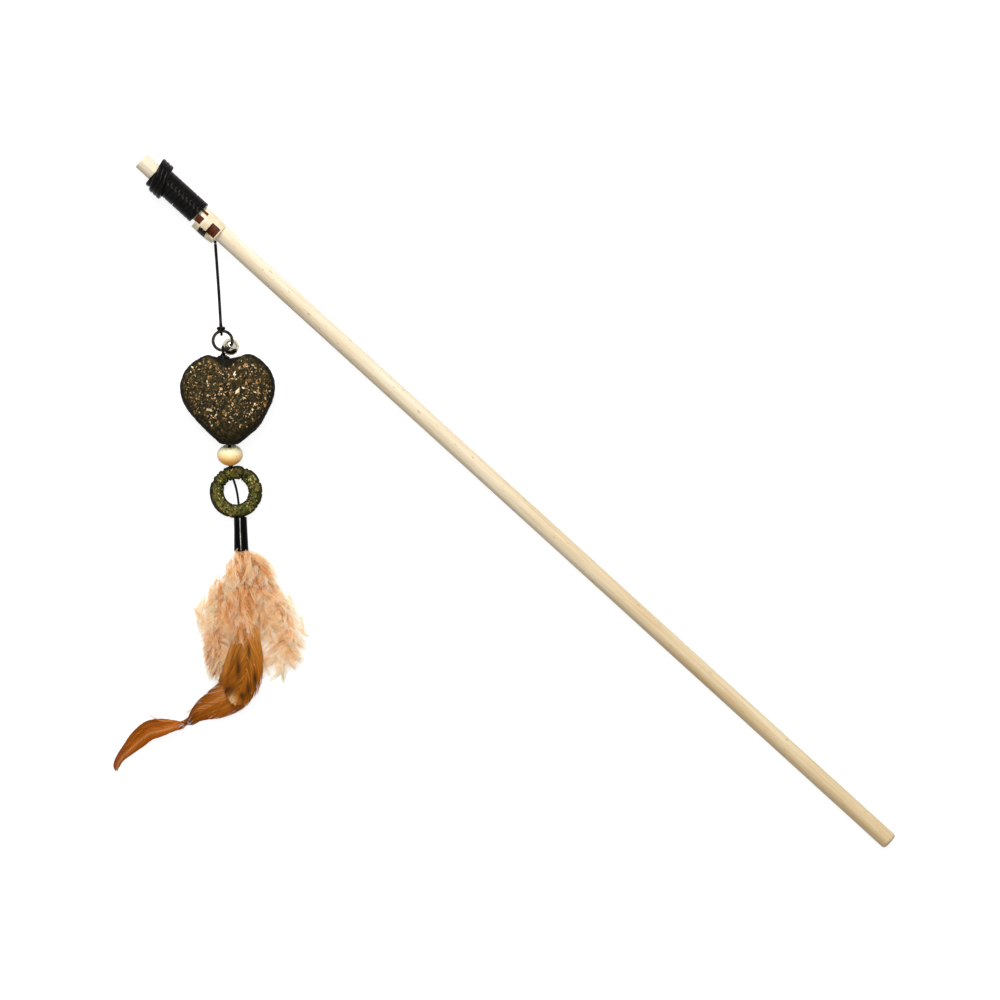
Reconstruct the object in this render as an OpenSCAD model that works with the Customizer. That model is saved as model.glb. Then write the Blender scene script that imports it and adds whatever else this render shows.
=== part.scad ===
// A cat teaser wand, lying on a table: a wooden stick with a wound tip, and a lure on a
// short cord: a split ring with a bell, a pressed heart, a bead, a pressed ring and feathers.
// The origin is on the table under the middle of the box round the whole wand.
// +X runs along the stick to its butt, and +Z is up from the table.

/* [Stick] */
// Length of the wooden stick
stick_len = 400; // [320:5:480]
// Diameter of the stick along its grip
stick_d = 7; // [6:0.25:8]
// How much thinner the stick is sanded at its working end
sanding = 0.1; // [0.05:0.05:0.2]
// Length of the sanded working end, and of its run up to the full diameter
sanded_len = 60; // [55:1:80]
sanded_run = 12; // [8:1:12]
// Rounding of the butt
butt_round = 1.2; // [0.6:0.1:1.8]
// Rounding of the working end
tip_round = 0.4; // [0.2:0.1:0.8]

/* [Whipping] */
// Diameter of the cord wound round the stick
wrap_d = 1.53; // [1.3:0.01:1.53]
// Distance from one turn to the next
wrap_pitch = 2; // [1.99:0.05:2.4]
// Height of the second layer of turns over the first
wrap_rise = 2.02; // [2:0.02:2.3]
// Bare wood in front of the first layer
tip_bare = 7.7; // [6:0.1:9]
// Turns in the first layer
wrap_turns = 10.5; // [8.5:1:11.5]
// Turns in the second layer, which make the collar
collar_turns = 3; // [2:0.5:4]
// How far the collar's turns lean along the stick
collar_lean = 1.6; // [0:0.1:2]
// Radius of the bend where an end of the winding turns along the stick
wrap_bend = 1.2; // [1:0.1:1.5]

/* [Keeper sleeve] */
// Length of the sleeve that keeps the cord on the stick
sleeve_len = 10.2; // [9.8:0.1:12]
// Outer diameter of the sleeve
sleeve_d = 9.8; // [9.5:0.1:10.5]
// How far the sleeve's outside is off the stick's axis, towards the cord
sleeve_shift = 1.05; // [1:0.05:1.2]
// How much thinner the sleeve gets at its back end, and over what length
sleeve_thin = 0.4; // [0.2:0.05:0.45]
sleeve_run = 3; // [2:0.1:4]
// Length and width of the open notch in the sleeve's front end
notch_len = 2; // [1.6:0.1:3]
notch_w = 3.3; // [2:0.1:3.5]
// Length and width of the window near the sleeve's back end
window_len = 4.2; // [3:0.1:4.5]
window_w = 5; // [3:0.1:5.2]
// Length and width of the open slit beside the notch
slit_len = 2.1; // [1.6:0.1:3]
slit_w = 1.1; // [0.6:0.1:1.2]
// Thickness of the stain and glue that shows in the openings
glue_t = 0.25; // [0.15:0.05:0.35]

/* [Cord] */
// Diameter of the cord that carries the lure
cord_d = 1.2; // [1:0.05:1.25]
// Length of cord from the sleeve to the split ring, straight across
cord_reach = 35.4; // [34:0.1:37]
// Heading of the cord, clockwise from the stick
cord_heading = 43.7; // [40:0.1:60]
// Length and diameter of the cord's knot on the split ring
knot_len = 2.2; // [1.8:0.1:2.6]
knot_d = 3; // [2.4:0.1:3.4]

/* [Split ring] */
// Outer diameter of the split ring
ring_od = 8.4; // [7.8:0.1:9]
// Width of the ring's wire, and the height of its two turns
wire_w = 0.9; // [0.7:0.05:1]
wire_h = 1.3; // [1:0.05:1.4]
// Heading from the knot across the ring
ring_heading = 39; // [30:1:60]

/* [Bell] */
// Diameter of the bell's shell
bell_d = 7.4; // [6.6:0.1:7.6]
// Thickness of the bell's metal
bell_wall = 0.4; // [0.3:0.05:0.5]
// How far the rim between the two halves stands out, and its height
bell_rim = 0.25; // [0.15:0.05:0.35]
bell_rim_h = 0.5; // [0.4:0.1:0.8]
// Width of the slot under the bell, and the diameter of the holes at its ends
bell_slot = 0.8; // [0.6:0.1:1]
bell_hole_d = 1.8; // [1.4:0.1:2]
// Diameter of the pellet in the bell
pellet_d = 2.8; // [2.4:0.1:3.2]
// Heading of the bell from the middle of the split ring
bell_heading = -4; // [-12:1:-2]

/* [Heart] */
// Length of the pressed heart, from its lobes to its tip
heart_len = 35; // [30:0.1:40]
// Width of the heart
heart_w = 37.5; // [32:0.5:42]
// Thickness of the heart
heart_t = 14; // [12:0.5:15]
// Distance from the split ring's wire to the level of the lobes
heart_drop = 2.2; // [1.4:0.1:3]
// How far the heart's middle lies beside the point it hangs from
heart_side = 1.3; // [0:0.1:1.5]
// Heading of the heart
heart_heading = 45.9; // [40:0.1:52]

/* [Bead] */
// Diameter and length of the wooden bead
bead_d = 10.3; // [9:0.1:10.6]
bead_len = 7; // [6.4:0.1:7.6]
// Diameter of the bead's hole
bead_hole_d = 2; // [1.6:0.1:2.6]
// Thickness and diameter of the knot below the bead
stop_len = 1; // [0.8:0.1:1.4]
stop_d = 3; // [2.4:0.1:3.6]
// Heading of the cord through the bead
bead_heading = 45; // [40:1:52]

/* [Pressed ring] */
// Outer diameter of the pressed ring
donut_od = 20.2; // [18:0.1:24]
// Thickness of the ring's section
donut_t = 5.2; // [4.6:0.1:6]
// Heading of the ring and of the cord across it
donut_heading = 36; // [30:1:44]

/* [Feather tassel] */
// Length of the tube that holds the feathers
ferrule_len = 12.8; // [11:0.1:15]
// Diameter of the tube, and its wall
ferrule_d = 5.1; // [4.9:0.1:5.2]
ferrule_wall = 0.6; // [0.4:0.05:0.65]
// Rounding of the tube's upper end
ferrule_round = 0.8; // [0.6:0.1:1]
// Heading of the tassel
tassel_heading = 46; // [40:1:50]
// Diameter of a quill
quill_d = 1.2; // [0.9:0.05:1.25]
// Reach of the long feather from the tube, along it and to the side
hackle_reach = 85.5; // [75:0.5:95]
hackle_side = 53.5; // [45:0.5:60]
// Half of the long feather's width
hackle_half = 8.8; // [7:0.1:10]
// Height of the long feather's ridge over its quill
hackle_rise = 3.8; // [3.7:0.1:4.5]
// Half of the long feather's thickness at its ridge
hackle_thick = 0.4; // [0.3:0.05:0.45]
// Reach of the two down feathers
left_reach = 53; // [46:1:58]
right_reach = 54; // [47:1:59]
// How far the down feathers bend to their sides
left_side = 11; // [11:0.5:14]
right_side = 17.5; // [17:0.5:20]
// Half of the width of each down feather
left_half = 8.6; // [7:0.1:8.8]
right_half = 9.7; // [8:0.1:9.9]
// Half of the down feathers' thickness
down_thick = 2.9; // [2:0.1:3]
// Reach and half width of the small brown feather on top
brown_reach = 60; // [52:1:64]
brown_half = 7.2; // [6:0.1:8]
// How far its tip is to the side
brown_side = 3.5; // [2:0.1:5]
// Height of the small brown feather over its quill
brown_rise = 5; // [4.9:0.1:6]

/* [Clearances] */
// Play between pieces that move past each other
play = 0.15; // [0.1:0.05:0.2]
// Room between a piece and what it is laid against
seat = 0.05; // [0.02:0.01:0.06]
// Gap between the heart's tip and the bead
bead_gap = 1.1; // [1:0.05:1.3]
// Gap between the pressed ring's edge and its neighbours
edge_gap = 0.65; // [0.6:0.05:0.8]

/* [Hidden] */

$fn = 48;
// One length of overrun serves every cut
over = 1;

// The stick's sizes, and the winding round its working end
stick_r = stick_d / 2;
tip_r = (stick_d - sanding) / 2;
wrap_r = wrap_d / 2;
layer_1 = tip_r + seat + wrap_r;
layer_2 = layer_1 + wrap_rise;
collar_r = layer_2 + wrap_r;
table_flat = wrap_d / 10;
wrap_end = tip_bare + wrap_r;
wrap_start = wrap_end + wrap_turns * wrap_pitch;
sleeve_from = wrap_start + wrap_bend + wrap_d;
sleeve_to = sleeve_from + sleeve_len;
// The collar's lowest turns lie about this far from the working end
collar_at = wrap_end + wrap_pitch;

// The stick lies on its collar and on its butt, so it leans a little
butt_at = stick_len - butt_round;
lean = atan((collar_r - table_flat - stick_r) / (butt_at - collar_at));
tip_z = stick_r * cos(lean) + butt_at * sin(lean);

// The row's middle is half way across the wand, from the collar to the long feather's tip
stick_y = 89.5;

// The cord in its groove, and where it leaves the sleeve
cord_r = cord_d / 2;
groove_y = -(tip_r - cord_r);
groove_bend = sleeve_to - sleeve_shift * 6;
bend_r = cord_r + seat;
exit_x = sleeve_to + bend_r + play;
exit_y = -(tip_r + cord_r + 2 * seat);
anchor_from = tip_bare + 2 * wrap_pitch;

// Walks on the table: from a place, on a heading, for a distance
function on(place, heading, far) =
    place + far * [cos(heading), -sin(heading)];
function aside(place, heading, far) = place + far * [sin(heading), cos(heading)];

ring_r = (ring_od - wire_w) / 2;
bell_r = bell_d / 2;
bell_z = bell_r + seat;
ring_z = bell_d + seat + play + wire_h / 2;
exit_at = [exit_x * cos(lean) - stick_len / 2, exit_y + stick_y];
exit_z = tip_z - exit_x * sin(lean);
knot_at = on(exit_at, cord_heading, cord_reach);
ring_at = on(knot_at, ring_heading, ring_r);
hang_at = on(ring_at, heart_heading, ring_r);
bell_at = on(ring_at, bell_heading, ring_r);
heart_z = heart_t / 2;
heart_tip = aside(on(hang_at, heart_heading, heart_drop + heart_len), heart_heading, heart_side);

// The cord through the bead slopes down from the heart's middle to the pressed ring's
donut_r = (donut_od - donut_t) / 2;
donut_z = donut_t / 2;
bead_run = bead_gap + bead_len + play + stop_len + edge_gap;
bead_slope = asin((heart_z - donut_z) / bead_run);
donut_edge = on(heart_tip, bead_heading, bead_run * cos(bead_slope));
donut_at = on(donut_edge, donut_heading, donut_od / 2);
tassel_at = on(donut_edge, donut_heading, donut_od);
ferrule_r = ferrule_d / 2;
ferrule_z = ferrule_r + seat;
ferrule_bore = ferrule_r - ferrule_wall;
mouth = edge_gap + ferrule_len;
quill_off = quill_d / 2 + play;
plug_from = edge_gap + ferrule_len / 3;
plug_len = ferrule_len / 6;
quill_from = plug_from + plug_len;

// The free cord's route, in the row's frame
cord_route = [
    [-156.3, 84.9, 6.6], [-154, 82.7, 6.2], [-151.7, 80.5, 5.9], [-149.4, 78.3, 5.7],
    [-147.1, 76.1, 5.6], [-144.8, 73.9, 5.6], [-142.5, 71.7, 5.7], [-140.2, 69.5, 6.1],
    [-137.9, 67.3, 6.7], [-135.6, 65.1, 7.4], [-133.3, 62.9, 8.2]
];

// The diameter of the bead's flats, as a share of its own diameter
bead_flat_share = 0.53;

// The outline of one half of the heart, as shares of its length and of half its width
heart_shares = [
    [0.16, 0], [0.08, 0.17], [0.015, 0.3], [0, 0.4], [0.02, 0.56], [0.07, 0.73], [0.16, 0.89],
    [0.27, 0.98], [0.37, 1], [0.47, 0.97], [0.58, 0.88], [0.7, 0.72], [0.8, 0.56],
    [0.9, 0.38], [0.975, 0.24], [1, 0.17]
];
// How the heart swells: shares of the way out from its middle, and of half its thickness
swell_shares = [[0.5, 1], [0.72, 0.95], [0.85, 0.8], [0.93, 0.55], [1, 0.2]];
// The heart's middle, as a share of its length
heart_mid_share = 0.45;

// The long feather: shares of its reach, side, half width and rise, and its roll in degrees
hackle_shares = [
    [0, 0, 0.07, 0, 0], [0.05, 0.002, 0.08, 0.3, 0], [0.13, 0.01, 0.15, 0.75, 0],
    [0.24, 0.02, 0.35, 0.97, 0], [0.34, 0.03, 0.6, 1, 0], [0.43, 0.04, 0.75, 1, 0],
    [0.52, 0.05, 0.9, 1, 0], [0.6, 0.07, 1, 0.95, 0], [0.667, 0.14, 0.92, 0.7, 10],
    [0.715, 0.24, 0.64, 0.4, 30], [0.742, 0.36, 0.42, 0.15, 60], [0.762, 0.47, 0.34, 0.1, 90],
    [0.78, 0.57, 0.36, 0.05, 120], [0.803, 0.66, 0.41, -0.1, 150], [0.833, 0.755, 0.45, -0.3, 170],
    [0.872, 0.84, 0.44, -0.4, 180], [0.922, 0.915, 0.34, -0.5, 180],
    [0.97, 0.965, 0.18, -0.6, 180], [1, 0.98, 0.05, -0.65, 180]
];
// The down feathers: shares of reach, side, half width, rise and half thickness
left_shares = [
    [0, 0, 0.07, 0, 0.2], [0.08, 0.11, 0.2, 0.2, 0.3], [0.19, 0.32, 0.52, 0.6, 0.6],
    [0.3, 0.55, 0.72, 0.85, 0.8], [0.45, 0.85, 1, 1, 1], [0.6, 0.85, 0.95, 1, 1],
    [0.77, 0.82, 0.88, 1, 0.95], [0.9, 0.91, 0.64, 0.9, 0.75], [0.97, 1, 0.3, 0.85, 0.45],
    [1, 1, 0.1, 0.8, 0.2]
];
right_shares = [
    [0, 0, 0.06, 0, 0.2], [0.06, 0.29, 0.46, 0.2, 0.3], [0.19, 0.49, 0.77, 0.6, 0.6],
    [0.37, 0.69, 0.93, 0.9, 0.9], [0.56, 0.89, 0.98, 1, 1], [0.7, 1, 1, 1, 1],
    [0.83, 0.86, 0.82, 1, 0.9], [0.96, 0.71, 0.41, 0.85, 0.55], [1, 0.71, 0.1, 0.8, 0.2]
];
// The small brown feather: shares of reach, side, half width and rise
brown_shares = [
    [0, 0, 0.08, 0], [0.06, 0, 0.08, 0.35], [0.15, 0.02, 0.12, 0.8], [0.3, 0, 0.3, 1],
    [0.42, -0.1, 0.55, 1], [0.52, -0.25, 0.8, 1], [0.64, -0.3, 0.96, 1], [0.76, -0.25, 1, 1],
    [0.86, 0.1, 0.85, 1], [0.94, 0.6, 0.5, 0.98], [1, 1, 0.1, 0.95]
];

// A closed skin over rings of points, each ring going the same way round, in triangles
module skin(rings) {
    sides = len(rings[0]);
    last = len(rings) - 1;
    polyhedron(
        points = [for (ring = rings) each ring],
        faces = [
            for (i = [0 : last - 1], k = [0 : sides - 1])
                each let (a = i * sides, b = a + sides, n = (k + 1) % sides)
                    [[a + k, a + n, b + n], [a + k, b + n, b + k]],
            for (k = [1 : sides - 2]) [0, k + 1, k],
            for (k = [1 : sides - 2]) let (a = last * sides) [a, a + k, a + k + 1]
        ]
    );
}

function unit(v) = v / norm(v);

// Rings of a round tube along points, one side of each ring facing its own outward vector
function tube_rings(points, outward, radius, sides) = [
    for (i = [0 : len(points) - 1])
        let (
            along = unit(points[min(i + 1, len(points) - 1)] - points[max(i - 1, 0)]),
            out = unit(outward[i] - (outward[i] * along) * along),
            side = cross(along, out)
        )
        [for (k = [0 : sides - 1])
            points[i] + radius * (cos(-k * 360 / sides) * out + sin(-k * 360 / sides) * side)]
];

// A rod along +X from a place to another
module rod_x(from, to, radius) {
    translate([from, 0, 0])
        rotate([0, 90, 0]) cylinder(h = to - from, r = radius);
}

// Puts its children on the stick: X from the working end, along the stick's axis
module on_stick() {
    translate([-stick_len / 2, stick_y, tip_z]) rotate([0, lean, 0]) children();
}

// Puts its children at a place on the table, at a height, with X on a heading
module laid(place, height, heading) {
    translate([place.x, place.y, height]) rotate([0, 0, -heading]) children();
}

// The stick's profile, turned about its axis, leaves its ends rounded
module dowel() {
    color("#E6D3AC") on_stick() difference() {
        rotate([0, 90, 0]) rotate_extrude() union() {
            polygon([
                [0, tip_round], [tip_r, tip_round], [tip_r, sanded_len - sanded_run],
                [stick_r, sanded_len], [stick_r, butt_at], [0, butt_at]
            ]);
            square([tip_r - tip_round, tip_round]);
            translate([0, butt_at]) square([stick_r - butt_round, butt_round]);
            intersection() {
                translate([tip_r - tip_round, tip_round]) circle(tip_round);
                square([tip_r, tip_round]);
            }
            intersection() {
                translate([stick_r - butt_round, butt_at]) circle(butt_round);
                translate([0, butt_at]) square([stick_r, butt_round]);
            }
        }
        cord_groove();
    }
}

// The groove that the cord lies in, open to the outside of the stick
module cord_groove() {
    anchor_run(cord_r + seat);
    translate([anchor_from, groove_y - stick_r, -(cord_r + seat)])
        cube([groove_bend - anchor_from, stick_r, cord_d + 2 * seat]);
}

// The cord's run on the stick: straight in the groove, then out through the sleeve
module anchor_run(radius) {
    lift = exit_y - groove_y;
    run = exit_x - groove_bend;
    translate([0, groove_y, 0]) rod_x(anchor_from, groove_bend, radius);
    translate([groove_bend, groove_y, 0]) sphere(radius + seat);
    translate([groove_bend, groove_y, 0]) rotate([0, 0, atan(lift / run)])
        rod_x(0, norm([run, lift]), radius);
}

module anchor_cord() {
    color("#14120F") on_stick() intersection() {
        anchor_run(cord_r);
        translate([0, -stick_d, -stick_d]) cube([sleeve_to, 2 * stick_d, 2 * stick_d]);
    }
}

// The winding's way round the stick: place along it, radius and angle at each turn of a
first_sweep = wrap_turns * 360;
climb_sweep = 180;
whole_sweep = first_sweep + climb_sweep + collar_turns * 360;
wrap_phase = 270;
wrap_step = 15;

function wrap_x(a) =
    a <= first_sweep ? wrap_start - wrap_pitch * a / 360
    : a <= first_sweep + climb_sweep ? wrap_end - wrap_pitch / 4 * (a - first_sweep) / climb_sweep
    : wrap_end - wrap_pitch / 4 + wrap_pitch * (a - first_sweep - climb_sweep) / 360
        - collar_lean * cos(wrap_phase + a);
function wrap_radius(a) =
    layer_1 + wrap_rise * max(0, min(1, (a - first_sweep) / climb_sweep));
function around(x, radius, angle) = [x, radius * cos(angle), radius * sin(angle)];
function outward(angle) = [0, cos(angle), sin(angle)];

// The ends bend from the turns to run along the stick
start_turn = wrap_bend / layer_1 * 180 / PI;
end_turn = wrap_bend / layer_2 * 180 / PI;
wrap_way = [
    [wrap_start + wrap_bend + wrap_d, layer_1, wrap_phase - start_turn],
    for (t = [0 : 30 : 60])
        [wrap_start + wrap_bend * (1 - sin(t)), layer_1, wrap_phase - start_turn * cos(t)],
    for (a = [0 : wrap_step : whole_sweep]) [wrap_x(a), wrap_radius(a), wrap_phase + a],
    for (t = [30 : 30 : 90])
        [wrap_x(whole_sweep) + wrap_bend * (1 - cos(t)), layer_2,
            wrap_phase + whole_sweep + end_turn * sin(t)],
    [wrap_x(whole_sweep) + wrap_bend + wrap_d, layer_2, wrap_phase + whole_sweep + end_turn]
];
wrap_points = [for (w = wrap_way) around(w[0], w[1], w[2])];
// Points half a turn or more apart along the cord are tested against each other
wrap_gap = min([
    for (i = [0 : len(wrap_points) - 13])
        min([for (j = [i + 12 : len(wrap_points) - 1]) norm(wrap_points[j] - wrap_points[i])])
]) - wrap_d;
echo(least_gap_of_the_winding = wrap_gap);

module whipping() {
    color("#14120F") difference() {
        on_stick() skin(tube_rings(wrap_points, [for (w = wrap_way) outward(w[2])], wrap_r, 6));
        translate([-stick_len / 2, stick_y - stick_len / 2, -stick_len])
            cube(stick_len);
    }
}

// Where the sleeve is open, seen from above: a notch and a slit at its front end, and a window
module sleeve_openings(room) {
    window_to = sleeve_to - (sleeve_len - notch_len - window_len) / 8;
    notch_y = -(tip_r + notch_w) / 2 - play;
    window_y = -(tip_r + window_w) / 2 + seat;
    translate([sleeve_from - over, notch_y + room, stick_r / 2])
        cube([notch_len + over - room, notch_w - 2 * room, stick_d]);
    translate([window_to - window_len + room, window_y + room, stick_r / 4])
        cube([window_len - 2 * room, window_w - 2 * room, stick_d]);
    translate([sleeve_from - over, (tip_r - slit_w) / 2 + seat + room, 0])
        cube([slit_len + over - room, slit_w - 2 * room, stick_d]);
}

module keeper_sleeve() {
    color("#E7D3B6") on_stick() difference() {
        translate([0, -sleeve_shift, 0]) union() {
            rod_x(sleeve_from, sleeve_to - sleeve_run, sleeve_d / 2);
            translate([sleeve_to - sleeve_run, 0, 0]) rotate([0, 90, 0])
                cylinder(h = sleeve_run, r1 = sleeve_d / 2, r2 = sleeve_d / 2 - sleeve_thin);
        }
        rod_x(sleeve_from - over, sleeve_to + over, tip_r);
        sleeve_openings(0);
        anchor_run(cord_r + seat);
    }
}

module window_glue() {
    color("#602C0C") on_stick() intersection() {
        difference() {
            rod_x(sleeve_from - over, sleeve_to, tip_r + glue_t);
            rod_x(sleeve_from - 2 * over, sleeve_to + over, tip_r);
            anchor_run(cord_r + seat);
        }
        sleeve_openings(seat);
    }
}

module cord_exit_bend() {
    color("#14120F") laid(exit_at, exit_z, 0) sphere(bend_r);
}

module free_cord() {
    color("#14120F")
        skin(tube_rings(cord_route, [for (p = cord_route) [0, 0, 1]], cord_r, 8));
}

// A knot is a flattened ball, cut flat where the cord meets it, turned about X
module knot(length, diameter, cut) {
    rotate([0, 90, 0]) rotate_extrude() intersection() {
        translate([0, -length / 2 + cut]) square([diameter, length]);
        polygon([for (t = [-90 : 10 : 90]) [diameter / 2 * cos(t), length / 2 * sin(t)]]);
    }
}

// A loop of cord round the split ring's wire, standing upright along X
module wire_loop() {
    rotate([90, 0, 0]) rotate_extrude()
        translate([loop_r, 0]) circle(loop_cord / 2);
}
loop_cord = cord_d * 0.8;
loop_r = norm([wire_w, wire_h]) / 2 + play + loop_cord / 2;

// The room for the wire inside such a loop, cut from what is tied to it
module wire_room() {
    rotate([90, 0, 0]) cylinder(h = knot_d, r = loop_r - loop_cord / 2 - seat, center = true);
}

module cord_knot() {
    back = knot_len / 20;
    color("#14120F") laid(knot_at, ring_z, cord_heading) difference() {
        union() {
            wire_loop();
            translate([-loop_r - knot_len / 4, 0, 0]) knot(knot_len, knot_d, back);
        }
        wire_room();
    }
}

// Two turns of flat wire, with a line between them and a step on each face where they end
module split_ring() {
    line = wire_h / 8;
    color("#A9A49A") laid(ring_at, ring_z, ring_heading) difference() {
        rotate_extrude() translate([ring_r, 0]) square([wire_w, wire_h], center = true);
        rotate_extrude() translate([ring_r + wire_w / 2, 0])
            square([wire_w / 3, line], center = true);
        for (side = [-1, 1]) rotate([0, 0, 90 * side])
            translate([ring_r - wire_w, -line, side > 0 ? line : -wire_h])
                cube([2 * wire_w, 2 * line, wire_h - line]);
    }
}

// Half of the bell's shell, with its open side down at z = 0
module half_shell(radius) {
    rotate_extrude() difference() {
        intersection() {
            circle(radius);
            square(radius);
        }
        circle(radius - bell_wall);
    }
}

module bell_dome() {
    color("#C9C4BA") laid(bell_at, bell_z, bell_heading)
        translate([0, 0, bell_rim_h / 2]) difference() {
            half_shell(bell_r - bell_rim_h / 2);
            translate([0, 0, ring_z - bell_z - bell_rim_h / 2])
                rotate([90, 0, 0]) eye_ring(seat);
        }
}

module bell_cup() {
    slot_len = bell_r;
    color("#B9B4AA") laid(bell_at, bell_z, bell_heading) {
        translate([0, 0, -bell_rim_h / 2]) mirror([0, 0, 1]) difference() {
            half_shell(bell_r - bell_rim_h / 2);
            translate([-slot_len / 2, -bell_slot / 2, 0]) cube([slot_len, bell_slot, bell_r]);
            for (side = [-1, 1]) translate([side * slot_len / 2, 0, 0])
                cylinder(h = bell_r, r = bell_hole_d / 2);
        }
        translate([0, 0, -bell_rim_h / 2]) difference() {
            cylinder(h = bell_rim_h, r = bell_r + bell_rim);
            translate([0, 0, -over])
                cylinder(h = bell_rim_h + 2 * over, r = bell_r - bell_wall - bell_rim_h / 2);
        }
    }
}

// The bell's eye is a wire ring, let into the top of the dome
eye_wire = bell_wall * 1.5;
eye_r = norm([wire_w, wire_h]) / 2 + play + eye_wire / 2;
module eye_ring(room) {
    rotate_extrude() translate([eye_r, 0]) circle(eye_wire / 2 + room);
}

module bell_eye() {
    color("#C9C4BA") laid(bell_at, ring_z, bell_heading)
        rotate([90, 0, 0]) eye_ring(0);
}

module bell_pellet() {
    pellet_low = bell_r - bell_wall - pellet_d / 2 - seat;
    color("#8E8A82") laid(bell_at, bell_z - pellet_low, 0) sphere(pellet_d / 2);
}

// The heart's rim, once round, then drawn in and raised level by level
heart_rim = [
    for (s = heart_shares) [s.x * heart_len, s.y * heart_w / 2],
    for (i = [len(heart_shares) - 1 : -1 : 1])
        [heart_shares[i].x * heart_len, -heart_shares[i].y * heart_w / 2]
];
heart_mid = [heart_mid_share * heart_len, 0];
function heart_ring(level, up) = [
    for (p = heart_rim)
        let (q = heart_mid + level[0] * (p - heart_mid)) [q.x, q.y, up * level[1] * heart_t / 2]
];
heart_levels = [
    for (level = swell_shares) heart_ring(level, -1),
    for (i = [len(swell_shares) - 1 : -1 : 0]) heart_ring(swell_shares[i], 1)
];

module catnip_heart() {
    color("#4A3E22") laid(hang_at, heart_z, heart_heading)
        translate([heart_drop, heart_side, 0]) difference() {
            skin(heart_levels);
            rod_x(-over, heart_len + over, cord_r + seat);
        }
}

// The cord through the heart: a loop on the split ring, a knot in the cleft, then straight on
module heart_cord() {
    knot_x = loop_r + knot_d / 2 + loop_cord / 4;
    cleft = heart_drop + heart_shares[0].x * heart_len;
    rise = ring_z - heart_z;
    color("#14120F") laid(hang_at, heart_z, heart_heading) union() {
        difference() {
            union() {
                translate([0, 0, rise]) wire_loop();
                translate([knot_x, heart_side / 2, rise / 2]) sphere(knot_d / 2);
            }
            translate([0, 0, rise]) wire_room();
        }
        translate([knot_x, heart_side / 2, rise / 2])
            rotate([0, atan(rise / 2 / (cleft - knot_x)), atan(heart_side / 2 / (cleft - knot_x))])
            rod_x(0, norm([cleft - knot_x, heart_side / 2, rise / 2]), cord_r);
        translate([0, heart_side, 0]) {
            translate([cleft, 0, 0]) sphere(cord_r);
            rod_x(cleft, heart_drop + heart_len - seat, cord_r);
        }
    }
}

// Puts its children on the sloping cord through the bead, with X down that cord
module on_bead_cord() {
    laid(heart_tip, heart_z, bead_heading) rotate([0, bead_slope, 0]) children();
}

module bead_cord() {
    color("#14120F") on_bead_cord()
        rod_x(bead_gap / 2, bead_gap + bead_len + play, cord_r);
}

module bead_knot() {
    color("#14120F") on_bead_cord() translate([bead_gap + bead_len + play + stop_len / 2, 0, 0])
        knot(stop_len, stop_d, stop_len / 20);
}

// The bead bulges between two flats, and its bore is straight
module wooden_bead() {
    flat = bead_d * bead_flat_share / 2;
    belly = asin(bead_len / 2 / norm([bead_len / 2, bead_d / 2 - bead_d * bead_flat_share / 4]));
    color("#F3D58A") on_bead_cord() translate([bead_gap + bead_len / 2, 0, 0])
        rotate([0, 90, 0]) difference() {
            rotate_extrude() polygon([
                [0, -bead_len / 2],
                for (t = [-belly : belly / 8 : belly])
                    [flat + (bead_d / 2 - flat) * (cos(t) - cos(belly)) / (1 - cos(belly)),
                        bead_len / 2 * sin(t) / sin(belly)],
                [0, bead_len / 2]
            ]);
            cylinder(h = bead_len + 2 * over, r = bead_hole_d / 2, center = true);
        }
}

module catnip_ring() {
    color("#5A5028") laid(donut_at, donut_z, donut_heading) difference() {
        rotate_extrude() translate([donut_r, 0]) circle(donut_t / 2);
        rod_x(-donut_od, donut_od, cord_r + seat);
    }
}

module ring_cord() {
    color("#14120F") laid(donut_at, donut_z, donut_heading)
        rod_x(-donut_od / 2, donut_od / 2, cord_r);
}

// The tube round the feathers' quills, rounded at its upper end
module ferrule() {
    color("#0C0C10") laid(tassel_at, ferrule_z, tassel_heading)
        translate([edge_gap, 0, 0]) rotate([0, 90, 0]) rotate_extrude() difference() {
            union() {
                translate([0, ferrule_round]) square([ferrule_r, ferrule_len - ferrule_round]);
                square([ferrule_r - ferrule_round, ferrule_round]);
                translate([ferrule_r - ferrule_round, ferrule_round]) circle(ferrule_round);
            }
            translate([0, ferrule_wall])
                square([ferrule_bore, ferrule_len]);
            square([cord_r, ferrule_len]);
        }
}

module tassel_cord() {
    color("#14120F") laid(tassel_at, ferrule_z, tassel_heading)
        rod_x(edge_gap, plug_from, cord_r);
}

module glue_plug() {
    color("#3A3020") laid(tassel_at, ferrule_z, tassel_heading)
        rod_x(plug_from, plug_from + plug_len, ferrule_bore);
}

// A feather's quill in the tube, beside the tube's axis
module quill(side, up) {
    translate([0, side * quill_off, up * quill_off]) rod_x(quill_from, mouth + over, quill_d / 2);
}

// The long feather's rings are lens shapes, which roll over where it twists
function lens(half, thick) = [
    [half, 0], [half / 2, thick], [-half / 2, thick], [-half, 0], [-half / 2, -thick],
    [half / 2, -thick]
];
function hackle_place(s) =
    [mouth + s[0] * hackle_reach, -quill_off - s[1] * hackle_side, quill_off + s[3] * hackle_rise];
function hackle_rings() = [
    for (i = [0 : len(hackle_shares) - 1])
        let (
            s = hackle_shares[i],
            here = hackle_place(s),
            ahead = hackle_place(hackle_shares[min(i + 1, len(hackle_shares) - 1)]),
            behind = hackle_place(hackle_shares[max(i - 1, 0)]),
            along = unit([ahead.x - behind.x, ahead.y - behind.y, 0]),
            across = [along.y, -along.x, 0],
            side = cos(s[4]) * across + sin(s[4]) * [0, 0, 1],
            up = cross(side, along),
            half = max(quill_d / 2 + seat, s[2] * hackle_half),
            thick = i < 3 ? quill_d / 2 + seat : hackle_thick
        )
        [for (q = lens(half, thick)) here + q.x * side + q.y * up]
];

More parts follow.
